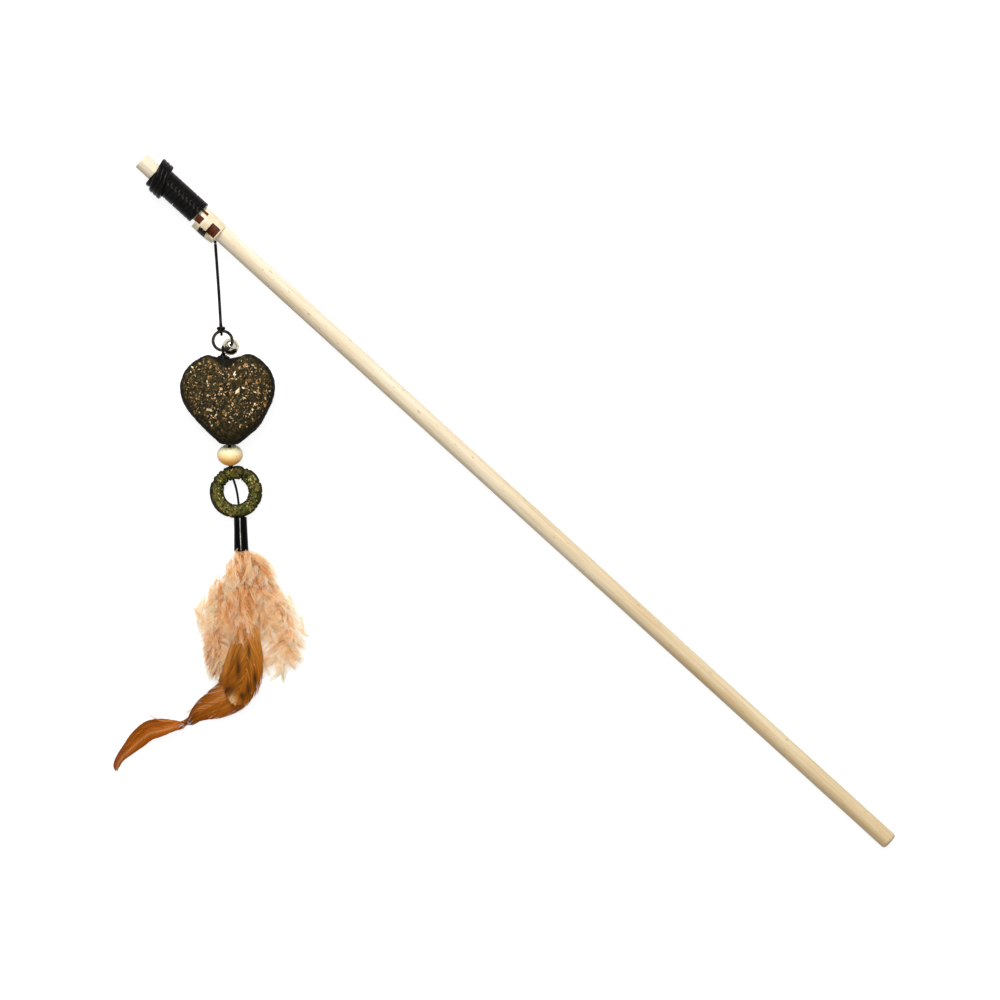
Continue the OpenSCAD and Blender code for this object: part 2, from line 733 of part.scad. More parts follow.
module hackle_feather() {
    color("#B4702A") laid(tassel_at, ferrule_z, tassel_heading) {
        quill(-1, 1);
        skin(hackle_rings());
    }
}

// A down feather's rings are ovals along a bending line
module down_feather(shares, side, reach, bend, half) {
    quill(side, -1);
    skin([
        for (s = shares)
            [for (k = [0 : 9]) [
                mouth + s[0] * reach,
                side * (quill_off + s[1] * bend)
                    + max(quill_d / 2 + seat, s[2] * half) * cos(-k * 36),
                s[3] * down_rise - quill_off
                    + max(quill_d / 2 + seat, s[4] * down_thick) * sin(-k * 36)
            ]]
    ]);
}

down_rise = down_thick + seat + play - ferrule_z + quill_off;
module down_feather_left() {
    color("#E0B384") laid(tassel_at, ferrule_z, tassel_heading)
        down_feather(left_shares, -1, left_reach, left_side, left_half);
}

module down_feather_right() {
    color("#DDAE7A") laid(tassel_at, ferrule_z, tassel_heading)
        down_feather(right_shares, 1, right_reach, right_side, right_half);
}

module brown_feather() {
    color("#6B5528") laid(tassel_at, ferrule_z, tassel_heading) {
        quill(1, 1);
        skin([
            for (i = [0 : len(brown_shares) - 1])
                let (
                    s = brown_shares[i],
                    half = max(quill_d / 2 + seat, s[2] * brown_half),
                    thick = i < 3 ? quill_d / 2 + seat : hackle_thick
                )
                [for (q = lens(half, thick))
                    [mouth + s[0] * brown_reach, quill_off - s[1] * brown_side + q.x,
                        quill_off + s[3] * brown_rise - q.y]]
        ]);
    }
}

dowel();
whipping();
keeper_sleeve();
window_glue();
anchor_cord();
cord_exit_bend();
free_cord();
cord_knot();
split_ring();
bell_dome();
bell_cup();
bell_eye();
bell_pellet();
catnip_heart();
heart_cord();
bead_cord();
bead_knot();
wooden_bead();
catnip_ring();
ring_cord();
ferrule();
tassel_cord();
glue_plug();
hackle_feather();
down_feather_left();
down_feather_right();
brown_feather();
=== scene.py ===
"""Looks of a cat teaser wand: stick, wound tip, cord, bell, pressed heart, bead, ring, feathers."""

from __future__ import annotations

import logging
import math
from dataclasses import dataclass, field
from enum import Enum
from typing import Any, Callable, Sequence

import bpy
import numpy as np
from mathutils import Matrix, Vector


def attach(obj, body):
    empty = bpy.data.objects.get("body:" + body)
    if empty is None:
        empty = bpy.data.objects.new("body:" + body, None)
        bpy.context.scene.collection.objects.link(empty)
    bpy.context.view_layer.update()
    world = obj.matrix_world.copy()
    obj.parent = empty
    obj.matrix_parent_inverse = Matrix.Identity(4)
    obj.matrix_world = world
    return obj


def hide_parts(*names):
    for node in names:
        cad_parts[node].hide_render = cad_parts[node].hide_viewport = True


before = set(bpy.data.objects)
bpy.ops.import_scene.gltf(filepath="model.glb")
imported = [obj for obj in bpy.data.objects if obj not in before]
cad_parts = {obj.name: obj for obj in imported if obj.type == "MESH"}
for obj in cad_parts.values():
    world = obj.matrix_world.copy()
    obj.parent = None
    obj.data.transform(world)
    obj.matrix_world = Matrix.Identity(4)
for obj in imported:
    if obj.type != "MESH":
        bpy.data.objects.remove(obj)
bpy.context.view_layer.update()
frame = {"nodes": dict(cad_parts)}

LOG = logging.getLogger("wand")
MM = 0.001
ATTRIBUTE = "tint"
Array = np.ndarray
Tree = bpy.types.NodeTree
Socket = bpy.types.NodeSocket
Piece = bpy.types.Object


# Colour, numbers and nodes


def linear(hex_colour: str) -> tuple[float, float, float, float]:
    """Turns an sRGB hex colour into a linear colour.

    Args:
        hex_colour: Six hex digits after a hash.

    Returns:
        Red, green, blue and an alpha of one.
    """
    parts = [int(hex_colour[i : i + 2], 16) / 255 for i in (1, 3, 5)]
    r, g, b = (c / 12.92 if c <= 0.04045 else ((c + 0.055) / 1.055) ** 2.4 for c in parts)
    return (r, g, b, 1.0)


def palette(*hex_colours: str) -> Array:
    """Several hex colours as rows of linear red, green and blue."""
    return np.array([linear(c)[:3] for c in hex_colours])


def add_node(
    tree: Tree,
    kind: str,
    inputs: dict[str | int, Any] | None = None,
    stops: Sequence[tuple[float, str]] = (),
    **settings: Any,
) -> bpy.types.Node:
    """Adds a node with its settings, its values and its links.

    Args:
        tree: The node tree it goes into.
        kind: The node's type name.
        inputs: Values or output sockets for its inputs, by name or number.
        stops: Places and hex colours, for a colour ramp.
        **settings: Properties of the node.

    Returns:
        The new node.
    """
    node = tree.nodes.new(kind)
    for name, value in settings.items():
        setattr(node, name, value)
    for i, (place, colour) in enumerate(stops):
        ramp = node.color_ramp.elements
        stop = ramp[i] if i < 2 else ramp.new(place)
        stop.position, stop.color = place, linear(colour)
    for key, value in (inputs or {}).items():
        socket = node.inputs[key]
        if isinstance(value, Socket):
            tree.links.new(value, socket)
        else:
            socket.default_value = value
    return node


def spread(*columns: float | Array) -> Array:
    """Rows from columns, each an array or one number for every row."""
    return np.stack(np.broadcast_arrays(*columns), axis=-1)


def sampled(table: Array, at: Array, where: Array) -> Array:
    """A table's columns, with its rows at some places, read off at others."""
    return np.stack([np.interp(where, at, column) for column in table.T], axis=-1)


def bump(off: Array, width: float) -> Array:
    """One where off is zero, fading out over a width on both sides."""
    return np.exp(-((off / width) ** 2))


def blend(first: Array, second: Array, share: Array | float) -> Array:
    """A mix of two values, by the share of the second."""
    return first * (1 - share) + second * share


def signed_power(values: Array, power: float) -> Array:
    """A power of the values' sizes, with the values' own signs."""
    return np.sign(values) * np.abs(values) ** power


def around(count: int) -> Array:
    """Angles evenly spaced once round."""
    return np.linspace(0, 2 * math.pi, count, endpoint=False)


def run_lengths(points: Array) -> Array:
    """How far along a line of points each of them lies."""
    return np.concatenate([[0], np.cumsum(np.linalg.norm(np.diff(points, axis=0), axis=1))])


def smooth_table(rows: Sequence[Sequence[float]], count: int) -> Array:
    """Draws a smooth curve through the rows of a table.

    Args:
        rows: The table's rows; the first three columns are a place.
        count: How many rows to return, evenly spaced along the places.

    Returns:
        The resampled table.
    """
    table = np.array(rows, float)
    padded = np.vstack([2 * table[0] - table[1], table, 2 * table[-1] - table[-2]])
    steps = np.linspace(0, 1, 24, endpoint=False)
    fine = []
    for a, b, c, d in zip(padded, padded[1:], padded[2:], padded[3:]):
        square, cube = 2 * a - 5 * b + 4 * c - d, 3 * b - a - 3 * c + d
        fine += [0.5 * (2 * b + (c - a) * t + square * t**2 + cube * t**3) for t in steps]
    line = np.array([*fine, table[-1]])
    far = run_lengths(line[:, :3])
    return sampled(line, far, np.linspace(0, far[-1], count))


def unit(vectors: Array) -> Array:
    """Vectors scaled to a length of one."""
    return vectors / np.maximum(np.linalg.norm(vectors, axis=-1, keepdims=True), 1e-12)


def tangents(points: Array, axis: int = 0) -> Array:
    """Unit directions along lines of points."""
    return unit(np.gradient(points, axis=axis))


def carried_ups(points: Array, up: Sequence[float]) -> Array:
    """Carries an up vector along a line without letting it spin.

    Args:
        points: The line's points.
        up: The up vector at its start.

    Returns:
        The up vectors at the points.
    """
    ups = []
    here = np.array(up, float)
    for along in tangents(points):
        here = unit(here - (here @ along) * along)
        ups.append(here)
    return np.array(ups)


@dataclass(frozen=True)
class Spot:
    """A place on the lure, in millimetres, with a heading clockwise from the stick."""

    x: float
    y: float
    z: float
    heading: float
    slope: float = 0.0

    def matrix(self) -> Matrix:
        """The way from local millimetres to the row frame's metres."""
        turn = Matrix.Rotation(-math.radians(self.heading), 4, "Z")
        tip = Matrix.Rotation(math.radians(self.slope), 4, "Y")
        place = Matrix.Translation(Vector((self.x, self.y, self.z)) * MM)
        return place @ turn @ tip @ Matrix.Scale(MM, 4)

    def put(self, points: Array) -> Array:
        """Local points in millimetres, as row-frame points in millimetres."""
        m = np.array(self.matrix()) / MM
        return points @ m[:3, :3].T + m[:3, 3]

    def turned(self, ways: Array) -> Array:
        """Local directions, as row-frame directions."""
        return ways @ (np.array(self.matrix())[:3, :3] / MM).T

    def local(self, points: Array) -> Array:
        """Row-frame points in metres, as local points in millimetres."""
        back = np.array(self.matrix().inverted())
        return points @ back[:3, :3].T + back[:3, 3]


# The lure's places, which are the CAD's own
STICK = Spot(-200.0, 89.5, 6.988, 0.0, 0.501)
KNOT = Spot(-131.214, 60.893, 8.25, 43.7)
RING = Spot(-128.299, 58.533, 8.25, 39.0)
HANG = Spot(-125.690, 55.840, 8.25, 45.9)
HEART = Spot(-125.690, 55.840, 7.0, 45.9)
BEAD = Spot(-98.868, 30.030, 7.0, 45.0, 26.39)
PRESSED_RING = Spot(-84.426, 17.823, 2.6, 36.0)
TASSEL = Spot(-76.255, 11.886, 2.6, 46.0)


# Meshes


def paint(mesh: bpy.types.Mesh, tint: Array) -> None:
    """Keeps a linear colour for each point as an attribute of the mesh."""
    colour = mesh.color_attributes.new(ATTRIBUTE, "FLOAT_COLOR", "POINT")
    rgba = np.column_stack([tint, np.ones(len(tint))])
    colour.data.foreach_set("color", rgba.astype(np.float32).ravel())


def mesh_object(
    name: str, points: Array, faces: Sequence[Sequence[int]], tint: Array | None = None
) -> Piece:
    """Makes a mesh object from points in the row frame.

    Args:
        name: The piece's name.
        points: Points in millimetres.
        faces: Point numbers of each face.
        tint: A linear colour for each point, kept as an attribute.

    Returns:
        The new object.
    """
    mesh = bpy.data.meshes.new(name)
    mesh.from_pydata((points * MM).tolist(), [], faces)
    if tint is not None:
        paint(mesh, tint)
    mesh.update()
    made = bpy.data.objects.new(name, mesh)
    bpy.context.scene.collection.objects.link(made)
    return made


def read_rows(items: Any, name: str, width: int = 3) -> Array:
    """One property of all the points or faces of a mesh, as rows."""
    values = np.zeros(len(items) * width)
    items.foreach_get(name, values)
    return values.reshape(-1, width)


def move_points(piece: Piece, points: Array) -> None:
    """Moves a piece's points to places in row-frame millimetres."""
    piece.data.vertices.foreach_set("co", (points * MM).ravel())
    piece.data.update()


def cord_section(sides: int, plies: int = 0, depth: float = 0.0) -> Array:
    """The outline of a cord, with a hollow between each two plies, or a plain circle."""
    a = around(sides)
    r = 1 - depth * (1 - np.abs(np.cos(a * plies / 2)) ** 0.6) if plies else 1.0
    return spread(r * np.cos(a), r * np.sin(a))


def skin_faces(rows: int, sides: int, closed: bool = False) -> list[tuple[int, ...]]:
    """Joins rows of points, each of which runs round.

    Args:
        rows: How many rows.
        sides: How many points in a row.
        closed: Whether the last row joins the first.

    Returns:
        The point numbers of each face.
    """
    corners = ((0, 0), (0, 1), (1, 1), (1, 0))
    return [
        tuple((i + on) % rows * sides + (k + over) % sides for on, over in corners)
        for i in range(rows if closed else rows - 1)
        for k in range(sides)
    ]


def swept(
    name: str,
    points: Array,
    radius: float | Array,
    section: Array,
    lay: float = 0.0,
    ups: Array | None = None,
    floor: float | None = None,
) -> Piece:
    """Sweeps a section along a line, closed at both ends.

    Args:
        name: The piece's name.
        points: The line, in row-frame millimetres.
        radius: The section's radius, or one radius for each point.
        section: The section's outline for a radius of one.
        lay: Length of cord for one turn of its plies, or zero.
        ups: The section's first direction at each point.
        floor: Height below which the piece is pressed flat.

    Returns:
        The new object.
    """
    if ups is None:
        ups = carried_ups(points, (0.02, 0.03, 1.0))
    sides = np.cross(tangents(points), ups)
    turn = 2 * math.pi * run_lengths(points) / lay if lay else np.zeros(len(points))
    r = np.broadcast_to(radius, len(points))[:, None, None]
    c, s = np.cos(turn)[:, None], np.sin(turn)[:, None]
    x, y = section.T
    u, v = (x * c - y * s)[..., None], (x * s + y * c)[..., None]
    skin = points[:, None] + r * (u * ups[:, None] + v * sides[:, None])
    n, m = len(points), len(section)
    verts = np.concatenate([skin.reshape(-1, 3), points[:1], points[-1:]])
    if floor is not None:
        verts[:, 2] = np.maximum(verts[:, 2], floor)
    faces = skin_faces(n, m)
    faces += [(n * m, (k + 1) % m, k) for k in range(m)]
    faces += [(n * m + 1, (n - 1) * m + k, (n - 1) * m + (k + 1) % m) for k in range(m)]
    made = mesh_object(name, verts, faces)
    made.data.shade_smooth()
    return made


def strand(name: str, spot: Spot, line: Array, radius: float | Array, sides: int = 12) -> Piece:
    """A plain round strand along a line in a spot's own millimetres."""
    return swept(name, spot.put(line), radius, cord_section(sides))


def ribbons(name: str, lines: Array, half: Array, sides: Array, tint: Array) -> Piece:
    """Makes many thin strips as one mesh.

    Args:
        name: The piece's name.
        lines: Middle points of each strip, strip by strip, in millimetres.
        half: Half of the width at each point.
        sides: The direction across the strip at each point.
        tint: The colour at each point.

    Returns:
        The new object.
    """
    n, k = lines.shape[:2]
    edge = sides * half[..., None]
    verts = np.stack([lines - edge, lines + edge], axis=2).reshape(-1, 3)
    colour = np.repeat(tint.reshape(-1, 3), 2, axis=0)
    start = (np.arange(n)[:, None] * k + np.arange(k - 1)[None]).reshape(-1) * 2
    faces = np.stack([start, start + 1, start + 3, start + 2], axis=1)
    return mesh_object(name, verts, faces.tolist(), colour)


def only(made: Piece) -> None:
    """Selects one object alone and makes it active."""
    bpy.ops.object.select_all(action="DESELECT")
    made.select_set(True)
    bpy.context.view_layer.objects.active = made


def roughen(made: Piece, size: float, depth: float) -> None:
    """Presses a cloudy relief into a piece.

    Args:
        made: The piece.
        size: Size of its grains in millimetres.
        depth: Its height in millimetres.
    """
    only(made)
    texture = bpy.data.textures.new(f"{made.name}_clouds", "CLOUDS")
    texture.noise_scale = size * MM
    relief = made.modifiers.new("relief", "DISPLACE")
    relief.texture, relief.strength, relief.texture_coords = texture, depth * MM, "GLOBAL"
    bpy.ops.object.modifier_apply(modifier=relief.name)


def joined(name: str, parts: list[Piece]) -> Piece:
    """Joins pieces into the first of them and names the result."""
    only(parts[0])
    for part in parts[1:]:
        part.select_set(True)
    if len(parts) > 1:
        bpy.ops.object.join()
    parts[0].name = name
    parts[0].data.name = name
    return parts[0]


# Finishes


@dataclass(frozen=True)
class Finish:
    """A named surface finish; each kind of finish fills in its own nodes."""

    name: str

    def material(self) -> bpy.types.Material:
        """Builds the material, or returns the one already built."""
        found = bpy.data.materials.get(self.name)
        if found:
            return found
        made = bpy.data.materials.new(self.name)
        made.use_nodes = True
        self.fill(made.node_tree)
        return made

    def fill(self, tree: Tree) -> None:
        """Adds the finish's nodes."""

    def dress(self, *pieces: Piece) -> None:
        """Puts the finish on pieces in place of any other."""
        for piece in pieces:
            piece.data.materials.clear()
            piece.data.materials.append(self.material())


def noise(tree: Tree, place: Socket, size: float, detail: float, **more: float) -> Socket:
    """Soft noise with grains of a size in millimetres."""
    inputs = {"Vector": place, "Scale": 1 / (size * MM), "Detail": detail, **more}
    return add_node(tree, "ShaderNodeTexNoise", inputs).outputs["Fac"]


def ramp(tree: Tree, share: Socket, *stops: tuple[float, str]) -> Socket:
    """A colour read off a ramp of places and hex colours."""
    return add_node(tree, "ShaderNodeValToRGB", {"Fac": share}, stops=stops).outputs["Color"]


def worked(tree: Tree, operation: str, first: Any, second: Any) -> Socket:
    """The result of one operation on two values."""
    return add_node(tree, "ShaderNodeMath", {0: first, 1: second}, operation=operation).outputs[0]


def ranged(tree: Tree, value: Socket, low: float, high: float) -> Socket:
    """Zero up to a low value, and rising to one at a high value."""
    inputs = {"Value": value, "From Min": low, "From Max": high}
    return add_node(tree, "ShaderNodeMapRange", inputs).outputs[0]


def mixed(tree: Tree, share: Any, first: Any, second: Any, kind: str = "MIX") -> Socket:
    """Two colours mixed, or put together in another named way, by a share."""
    inputs = {0: share, 6: first, 7: second}
    return add_node(tree, "ShaderNodeMix", inputs, data_type="RGBA", blend_type=kind).outputs[2]


def own_place(tree: Tree, along: float = 1.0) -> Socket:
    """The piece's own places, scaled along X by less than one to draw a pattern out there."""
    place = add_node(tree, "ShaderNodeTexCoord").outputs["Object"]
    if along == 1.0:
        return place
    return add_node(tree, "ShaderNodeMapping", {0: place, "Scale": (along, 1, 1)}).outputs[0]


def coat(
    tree: Tree,
    colour: Socket,
    shine: tuple[float, float, float],
    height: Socket | None = None,
    depth: float = 0.0,
    strength: float = 0.0,
) -> None:
    """Gives a material's shader its colour, its shine and its relief.

    Args:
        tree: The material's nodes.
        colour: The colour.
        shine: Roughness, specular level and metallic share.
        height: The relief's height, from zero to one.
        depth: What a height of one stands for in millimetres.
        strength: How strongly the relief shows.
    """
    sockets = tree.nodes["Principled BSDF"].inputs
    tree.links.new(colour, sockets["Base Color"])
    for name, value in zip(("Roughness", "Specular IOR Level", "Metallic"), shine):
        sockets[name].default_value = value
    if height is not None:
        inputs = {"Height": height, "Distance": depth * MM, "Strength": strength}
        relief = add_node(tree, "ShaderNodeBump", inputs)
        tree.links.new(relief.outputs["Normal"], sockets["Normal"])


@dataclass(frozen=True)
class SandedBirch(Finish):
    """Sanded birch: pale cream wood, with long faint grain and small brown flecks."""

    light: str = "#F6EDD9"
    dark: str = "#DCC59C"
    fleck: str = "#A98254"
    grain: float = 0.9
    stretch: float = 30.0
    roughness: float = 0.5
    specular: float = 0.25
    fade: tuple[float, float] = (-0.2, 0.2)
    way: tuple[float, float, float] = (1.0, 0.0, 0.0)
    # Colour multiplied in as painted shade, over the fade's range along the way
    painted_shade: str = "#F1E4CC"

    def fill(self, tree: Tree) -> None:
        """Adds grain, flecks and their relief along the X axis, and painted shade along another."""
        long = own_place(tree, 1 / self.stretch)
        grain = noise(tree, long, self.grain, 5.0, Roughness=0.62)
        tone = worked(tree, "ADD", grain, noise(tree, long, self.grain * 5, 2.0))
        half = worked(tree, "MULTIPLY", tone, 0.5)
        wood = ramp(tree, half, (0.36, self.dark), (0.62, self.light))
        along = add_node(
            tree, "ShaderNodeVectorMath", {0: own_place(tree), 1: self.way}, operation="DOT_PRODUCT"
        ).outputs["Value"]
        # Painted shade: the wood is multiplied darker along the way
        painted_shade = mixed(tree, ranged(tree, along, *self.fade), wood, linear(self.painted_shade), "MULTIPLY")
        specks = noise(tree, own_place(tree, 0.25), 0.7, 1.0)
        flecked = mixed(tree, ranged(tree, specks, 0.7, 0.78), painted_shade, linear(self.fleck))
        coat(tree, flecked, (self.roughness, self.specular, 0.0), grain, 0.04, 0.35)


@dataclass(frozen=True)
class WaxedCord(Finish):
    """Waxed black cord: near black, with fine braid and a soft shine on each turn."""

    colour: str = "#060504"
    worn: str = "#14110C"
    roughness: float = 0.14
    thread: float = 0.28
    specular: float = 0.08

    def fill(self, tree: Tree) -> None:
        """Adds the thread's relief and a slight change of tone."""
        place = own_place(tree)
        inputs = {"Vector": place, "Scale": 1 / (self.thread * MM), "Randomness": 0.55}
        threads = add_node(tree, "ShaderNodeTexVoronoi", inputs).outputs["Distance"]
        colour = ramp(tree, noise(tree, place, 1.6, 3.0), (0.4, self.colour), (0.75, self.worn))
        coat(tree, colour, (self.roughness, self.specular, 0.0), threads, 0.04, 0.25)


@dataclass(frozen=True)
class Mottled(Finish):
    """A surface of two tones in soft patches, with a fine relief."""

    light: str = "#E9D6B8"
    dark: str = "#D8BE97"
    patch: float = 2.0
    roughness: float = 0.45
    grit: float = 0.25
    depth: float = 0.03
    metallic: float = 0.0
    specular: float = 0.5
    spread: tuple[float, float] = (0.35, 0.7)

    def fill(self, tree: Tree) -> None:
        """Adds the patches and the relief."""
        place = own_place(tree)
        patches, grit = noise(tree, place, self.patch, 4.0), noise(tree, place, self.grit, 3.0)
        colour = ramp(tree, patches, (self.spread[0], self.dark), (self.spread[1], self.light))
        coat(tree, colour, (self.roughness, self.specular, self.metallic), grit, self.depth, 0.5)


@dataclass(frozen=True)
class Tinted(Finish):
    """A finish that takes its colour from the piece's own attribute, such as a plume's."""

    roughness: float = 0.6
    specular: float = 0.2
    glow: float = 0.0
    grit: float = 0.3
    depth: float = 0.0

    def fill(self, tree: Tree) -> None:
        """Reads the colour and lets some light through thin strips."""
        colour = add_node(tree, "ShaderNodeAttribute", attribute_name=ATTRIBUTE).outputs["Color"]
        grit = noise(tree, own_place(tree), self.grit, 4.0) if self.depth else None
        coat(tree, colour, (self.roughness, self.specular, 0.0), grit, self.depth, 0.6)
        if self.glow:
            through = add_node(tree, "ShaderNodeBsdfTranslucent", {"Color": colour})
            face = tree.nodes["Principled BSDF"]
            inputs = {0: self.glow, 1: face.outputs[0], 2: through.outputs[0]}
            both = add_node(tree, "ShaderNodeMixShader", inputs)
            tree.links.new(both.outputs[0], tree.nodes["Material Output"].inputs["Surface"])


# Sanded birch: pale and warm, with painted shade that makes it a little darker towards the butt
BIRCH = SandedBirch("sanded_birch")
# Waxed cord: black threads that catch a narrow soft light
CORD = WaxedCord("waxed_black_cord")
# Thin bamboo veneer: pale, nearly even, with a soft shine
VENEER = Mottled("bamboo_veneer", "#F3E7D0", "#E3CFA9", patch=3.0, roughness=0.42, specular=0.25)
# Dried stain and glue: deep brown, darker in patches, slightly wet to the eye
STAIN = Mottled(
    "dried_stain", "#7A3A12", "#2A1004", patch=0.9, roughness=0.35, depth=0.06, specular=0.2
)
# Painted shade on the sleeve's side: nearly black
SLEEVE_SHADE = Mottled("painted_sleeve_shade", "#2A1408", "#070402", patch=1.2, roughness=0.4, specular=0.1)
# Nickel plate on steel: bright, with faint dull patches
NICKEL = Mottled(
    "nickel_plate", "#DDD6C6", "#B0A896", patch=1.4, roughness=0.22, depth=0.01, metallic=1.0
)
# Dark plated spring steel: greyer and much darker than the bell
SPRING_STEEL = Mottled(
    "spring_steel", "#3E3932", "#14120F", patch=1.2, roughness=0.3, depth=0.01, metallic=1.0
)
# Turned pine bead: pale yellow wood, with a wax shine, and painted shade that turns its side towards the
# ring orange
PINE = SandedBirch(
    "turned_pine", "#FFFAD0", "#FFECAE", "#D9A050", grain=1.1, stretch=4.0, roughness=0.35,
    fade=(-0.0868, -0.0828), way=(0.69, -0.72, 0.0), painted_shade="#FFC67A",
)
# Heat-shrink tube: black, very glossy, slightly uneven
SHRINK_TUBE = Mottled(
    "shrink_tube", "#030305", "#010102", roughness=0.14, grit=1.6, depth=0.05, specular=0.04
)
# Hot glue: dark amber and smooth
GLUE = Mottled("hot_glue", "#4A3A20", "#2E2312", roughness=0.3)
# A pale strand in the tube's seam: painted highlight along the tube's top, clouded and glossy
SEAM_HIGHLIGHT = Mottled("painted_seam_highlight", "#E6E0DA", "#8F8C86", patch=1.5, roughness=0.2)
# Pressed leaf: dry and matt, all its colour in patches the size of its bits
PRESSED_LEAF = Tinted("pressed_leaf", roughness=0.75, specular=0.1, grit=0.4, depth=0.2)
# Leaf bits: dry chips that catch a little light at their edges
LEAF_BITS = Tinted("dry_leaf_bits", roughness=0.6, specular=0.15)
# Down: soft, matt and lit through
DOWN = Tinted("down_barbs", roughness=0.9, specular=0.02, glow=0.5)
# Plume barbs: smooth strips with a silky shine, a little lit through
PLUME = Tinted("plume_barbs", roughness=0.5, specular=0.08, glow=0.2)
# Quill: smooth horn, close to the vane's own brown
QUILL = Mottled("horn_quill", "#D0853A", "#96560F", patch=4.0, roughness=0.4, specular=0.1)
# The down's quills: thin pale horn that hardly shows among the barbs
PALE_QUILL = Mottled("pale_quill", "#FFE2BC", "#F6CB94", patch=4.0, roughness=0.5, specular=0.1)


# Sub-assemblies


class Body(Enum):
    """The bodies that pieces ride on."""

    WAND = "wand"
    CORD = "cord"
    SPLIT_RING = "split_ring"
    HEART = "heart"
    BEAD_CORD = "bead_cord"
    PRESSED_RING = "catnip_ring"
    TASSEL = "tassel"


def place_piece(piece: Piece, finish: Finish, body: Body, slot: str, *nodes: str) -> None:
    """Dresses a finished piece and lets it ride on a body, in the place of CAD nodes.

    Args:
        piece: The piece, in its place in the row frame.
        finish: Its surface finish.
        body: The body that it moves with.
        slot: The record's material slot; not used.
        *nodes: CAD nodes that it stands for.
    """
    finish.dress(piece)
    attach(piece, body.value)
    if nodes:
        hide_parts(*nodes)
    LOG.info("%s: %d faces on %s", piece.name, len(piece.data.polygons), body.value)


@dataclass
class Stick:
    """The wooden stick, its sleeve and what shows in the sleeve's openings."""

    sleeve_radius: float = 4.9
    sleeve_shift: float = 1.05
    patch_along: tuple[float, float] = (35.1, 38.6)
    patch_from: float = 30.0
    patch_turn: float = 68.0
    patch_proud: float = 0.07
    patch_sunk: float = 0.02
    patch_thick: float = 0.12
    patch_skew: float = 0.5

    def build(self) -> None:
        """Dresses the CAD's own solids, and lays the patch."""
        nodes = frame["nodes"]
        BIRCH.dress(nodes["dowel"])
        VENEER.dress(nodes["keeper_sleeve"])
        STAIN.dress(nodes["window_glue"])
        CORD.dress(nodes["anchor_cord"], nodes["cord_exit_bend"])
        self.build_patch()

    def build_patch(self) -> None:
        """Lays a nearly black patch of painted shade on the sleeve's side, above the cord's exit."""
        across = np.linspace(0, 1, 25)
        x = np.linspace(*self.patch_along, 22)[:, None]
        wave = 0.04 * np.sin(x * 4.1) + 0.03 * np.sin(x * 9.7)
        turn = math.radians(self.patch_from) + across * math.radians(self.patch_turn) + wave
        radius = self.sleeve_radius + self.patch_proud * np.sin(math.pi * across) ** 0.4 - self.patch_sunk
        skewed = x + self.patch_skew * (across - 0.5)
        share = 1 - self.patch_thick / self.sleeve_radius
        skins = [
            spread(skewed, -self.sleeve_shift - r * np.sin(turn), r * np.cos(turn))
            for r in (radius, radius * share)
        ]
        rings = np.concatenate([skins[0], skins[1][:, ::-1]], axis=1)
        n, m = rings.shape[:2]
        faces = skin_faces(n, m)
        for k in range(m // 2 - 1):
            end = (k, m - 1 - k, m - 2 - k, k + 1)
            faces += [end, tuple((n - 1) * m + i for i in end[::-1])]
        # A nearly black sheet of painted shade on the sleeve
        patch = mesh_object("sleeve_side_painted_shade", STICK.put(rings.reshape(-1, 3)), faces)
        place_piece(patch, SLEEVE_SHADE, Body.WAND, "brown_stain")


@dataclass
class Whipping:
    """The cord wound tight round the stick's tip, with a collar of a second layer."""

    cord: float = 1.98
    flat: float = 0.8
    pitch: float = 1.95
    wood: float = 3.45
    start: float = 30.7
    end: float = 8.5
    rise: float = 1.75
    collar_turns: float = 3.0
    collar_pitch: float = 1.8
    lean: float = 1.5
    step: float = 7.5
    seed: int = 4

    def path(self) -> tuple[Array, Array]:
        """The winding's points on the stick and the directions outward."""
        first = (self.start - self.end) / self.pitch * 360
        last = first + 180 + self.collar_turns * 360
        phase = 90 - first
        turn = np.arange(0, last + 1, self.step)
        inner = self.wood + self.cord * self.flat / 2
        x = self.start - self.pitch * turn / 360
        radius = np.full_like(turn, inner)
        climb = (turn > first) & (turn <= first + 180)
        share = (turn[climb] - first) / 180
        x[climb] = self.end - self.pitch / 4 * share
        radius[climb] = inner + self.rise * share
        over = turn > first + 180
        more = turn[over] - first - 180
        x[over] = (
            self.end
            - self.pitch / 4
            + self.collar_pitch * more / 360
            - self.lean * np.cos(np.radians(phase + turn[over]))
        )
        radius[over] = inner + self.rise
        marks = np.arange(0, last + 90, 70)
        uneven = np.random.default_rng(self.seed).normal(0, 1, len(marks))
        x = x + 0.06 * np.interp(turn, marks, uneven)
        a = np.radians(phase + turn)
        out = spread(0.0, np.cos(a), np.sin(a))
        return spread(x, 0.0, 0.0) + radius[:, None] * out, out

    def build(self) -> None:
        """Sweeps the cord round and presses it flat on the table."""
        points, out = self.path()
        a = around(24)
        parts = []
        first = int((self.start - self.end) / self.pitch * 360 / self.step)
        for name, part, wide_power, tall_power in (
            ("whipping_cord", slice(0, first + 12), 0.3, 0.36),
            ("collar_cord", slice(first, None), 0.8, 0.75),
        ):
            wide = self.flat * signed_power(np.cos(a), wide_power)
            pressed = spread(wide, signed_power(np.sin(a), tall_power))
            row, ups = STICK.put(points[part]), STICK.turned(out[part])
            thick = np.full(len(row), self.cord / 2)
            thick[-8:] *= np.linspace(1, 0.7, 8)
            parts.append(swept(name, row, thick, pressed, ups=ups, floor=0.0))
        piece = joined("whipping_cord", parts)
        place_piece(piece, CORD, Body.WAND, "black_cord", "whipping")


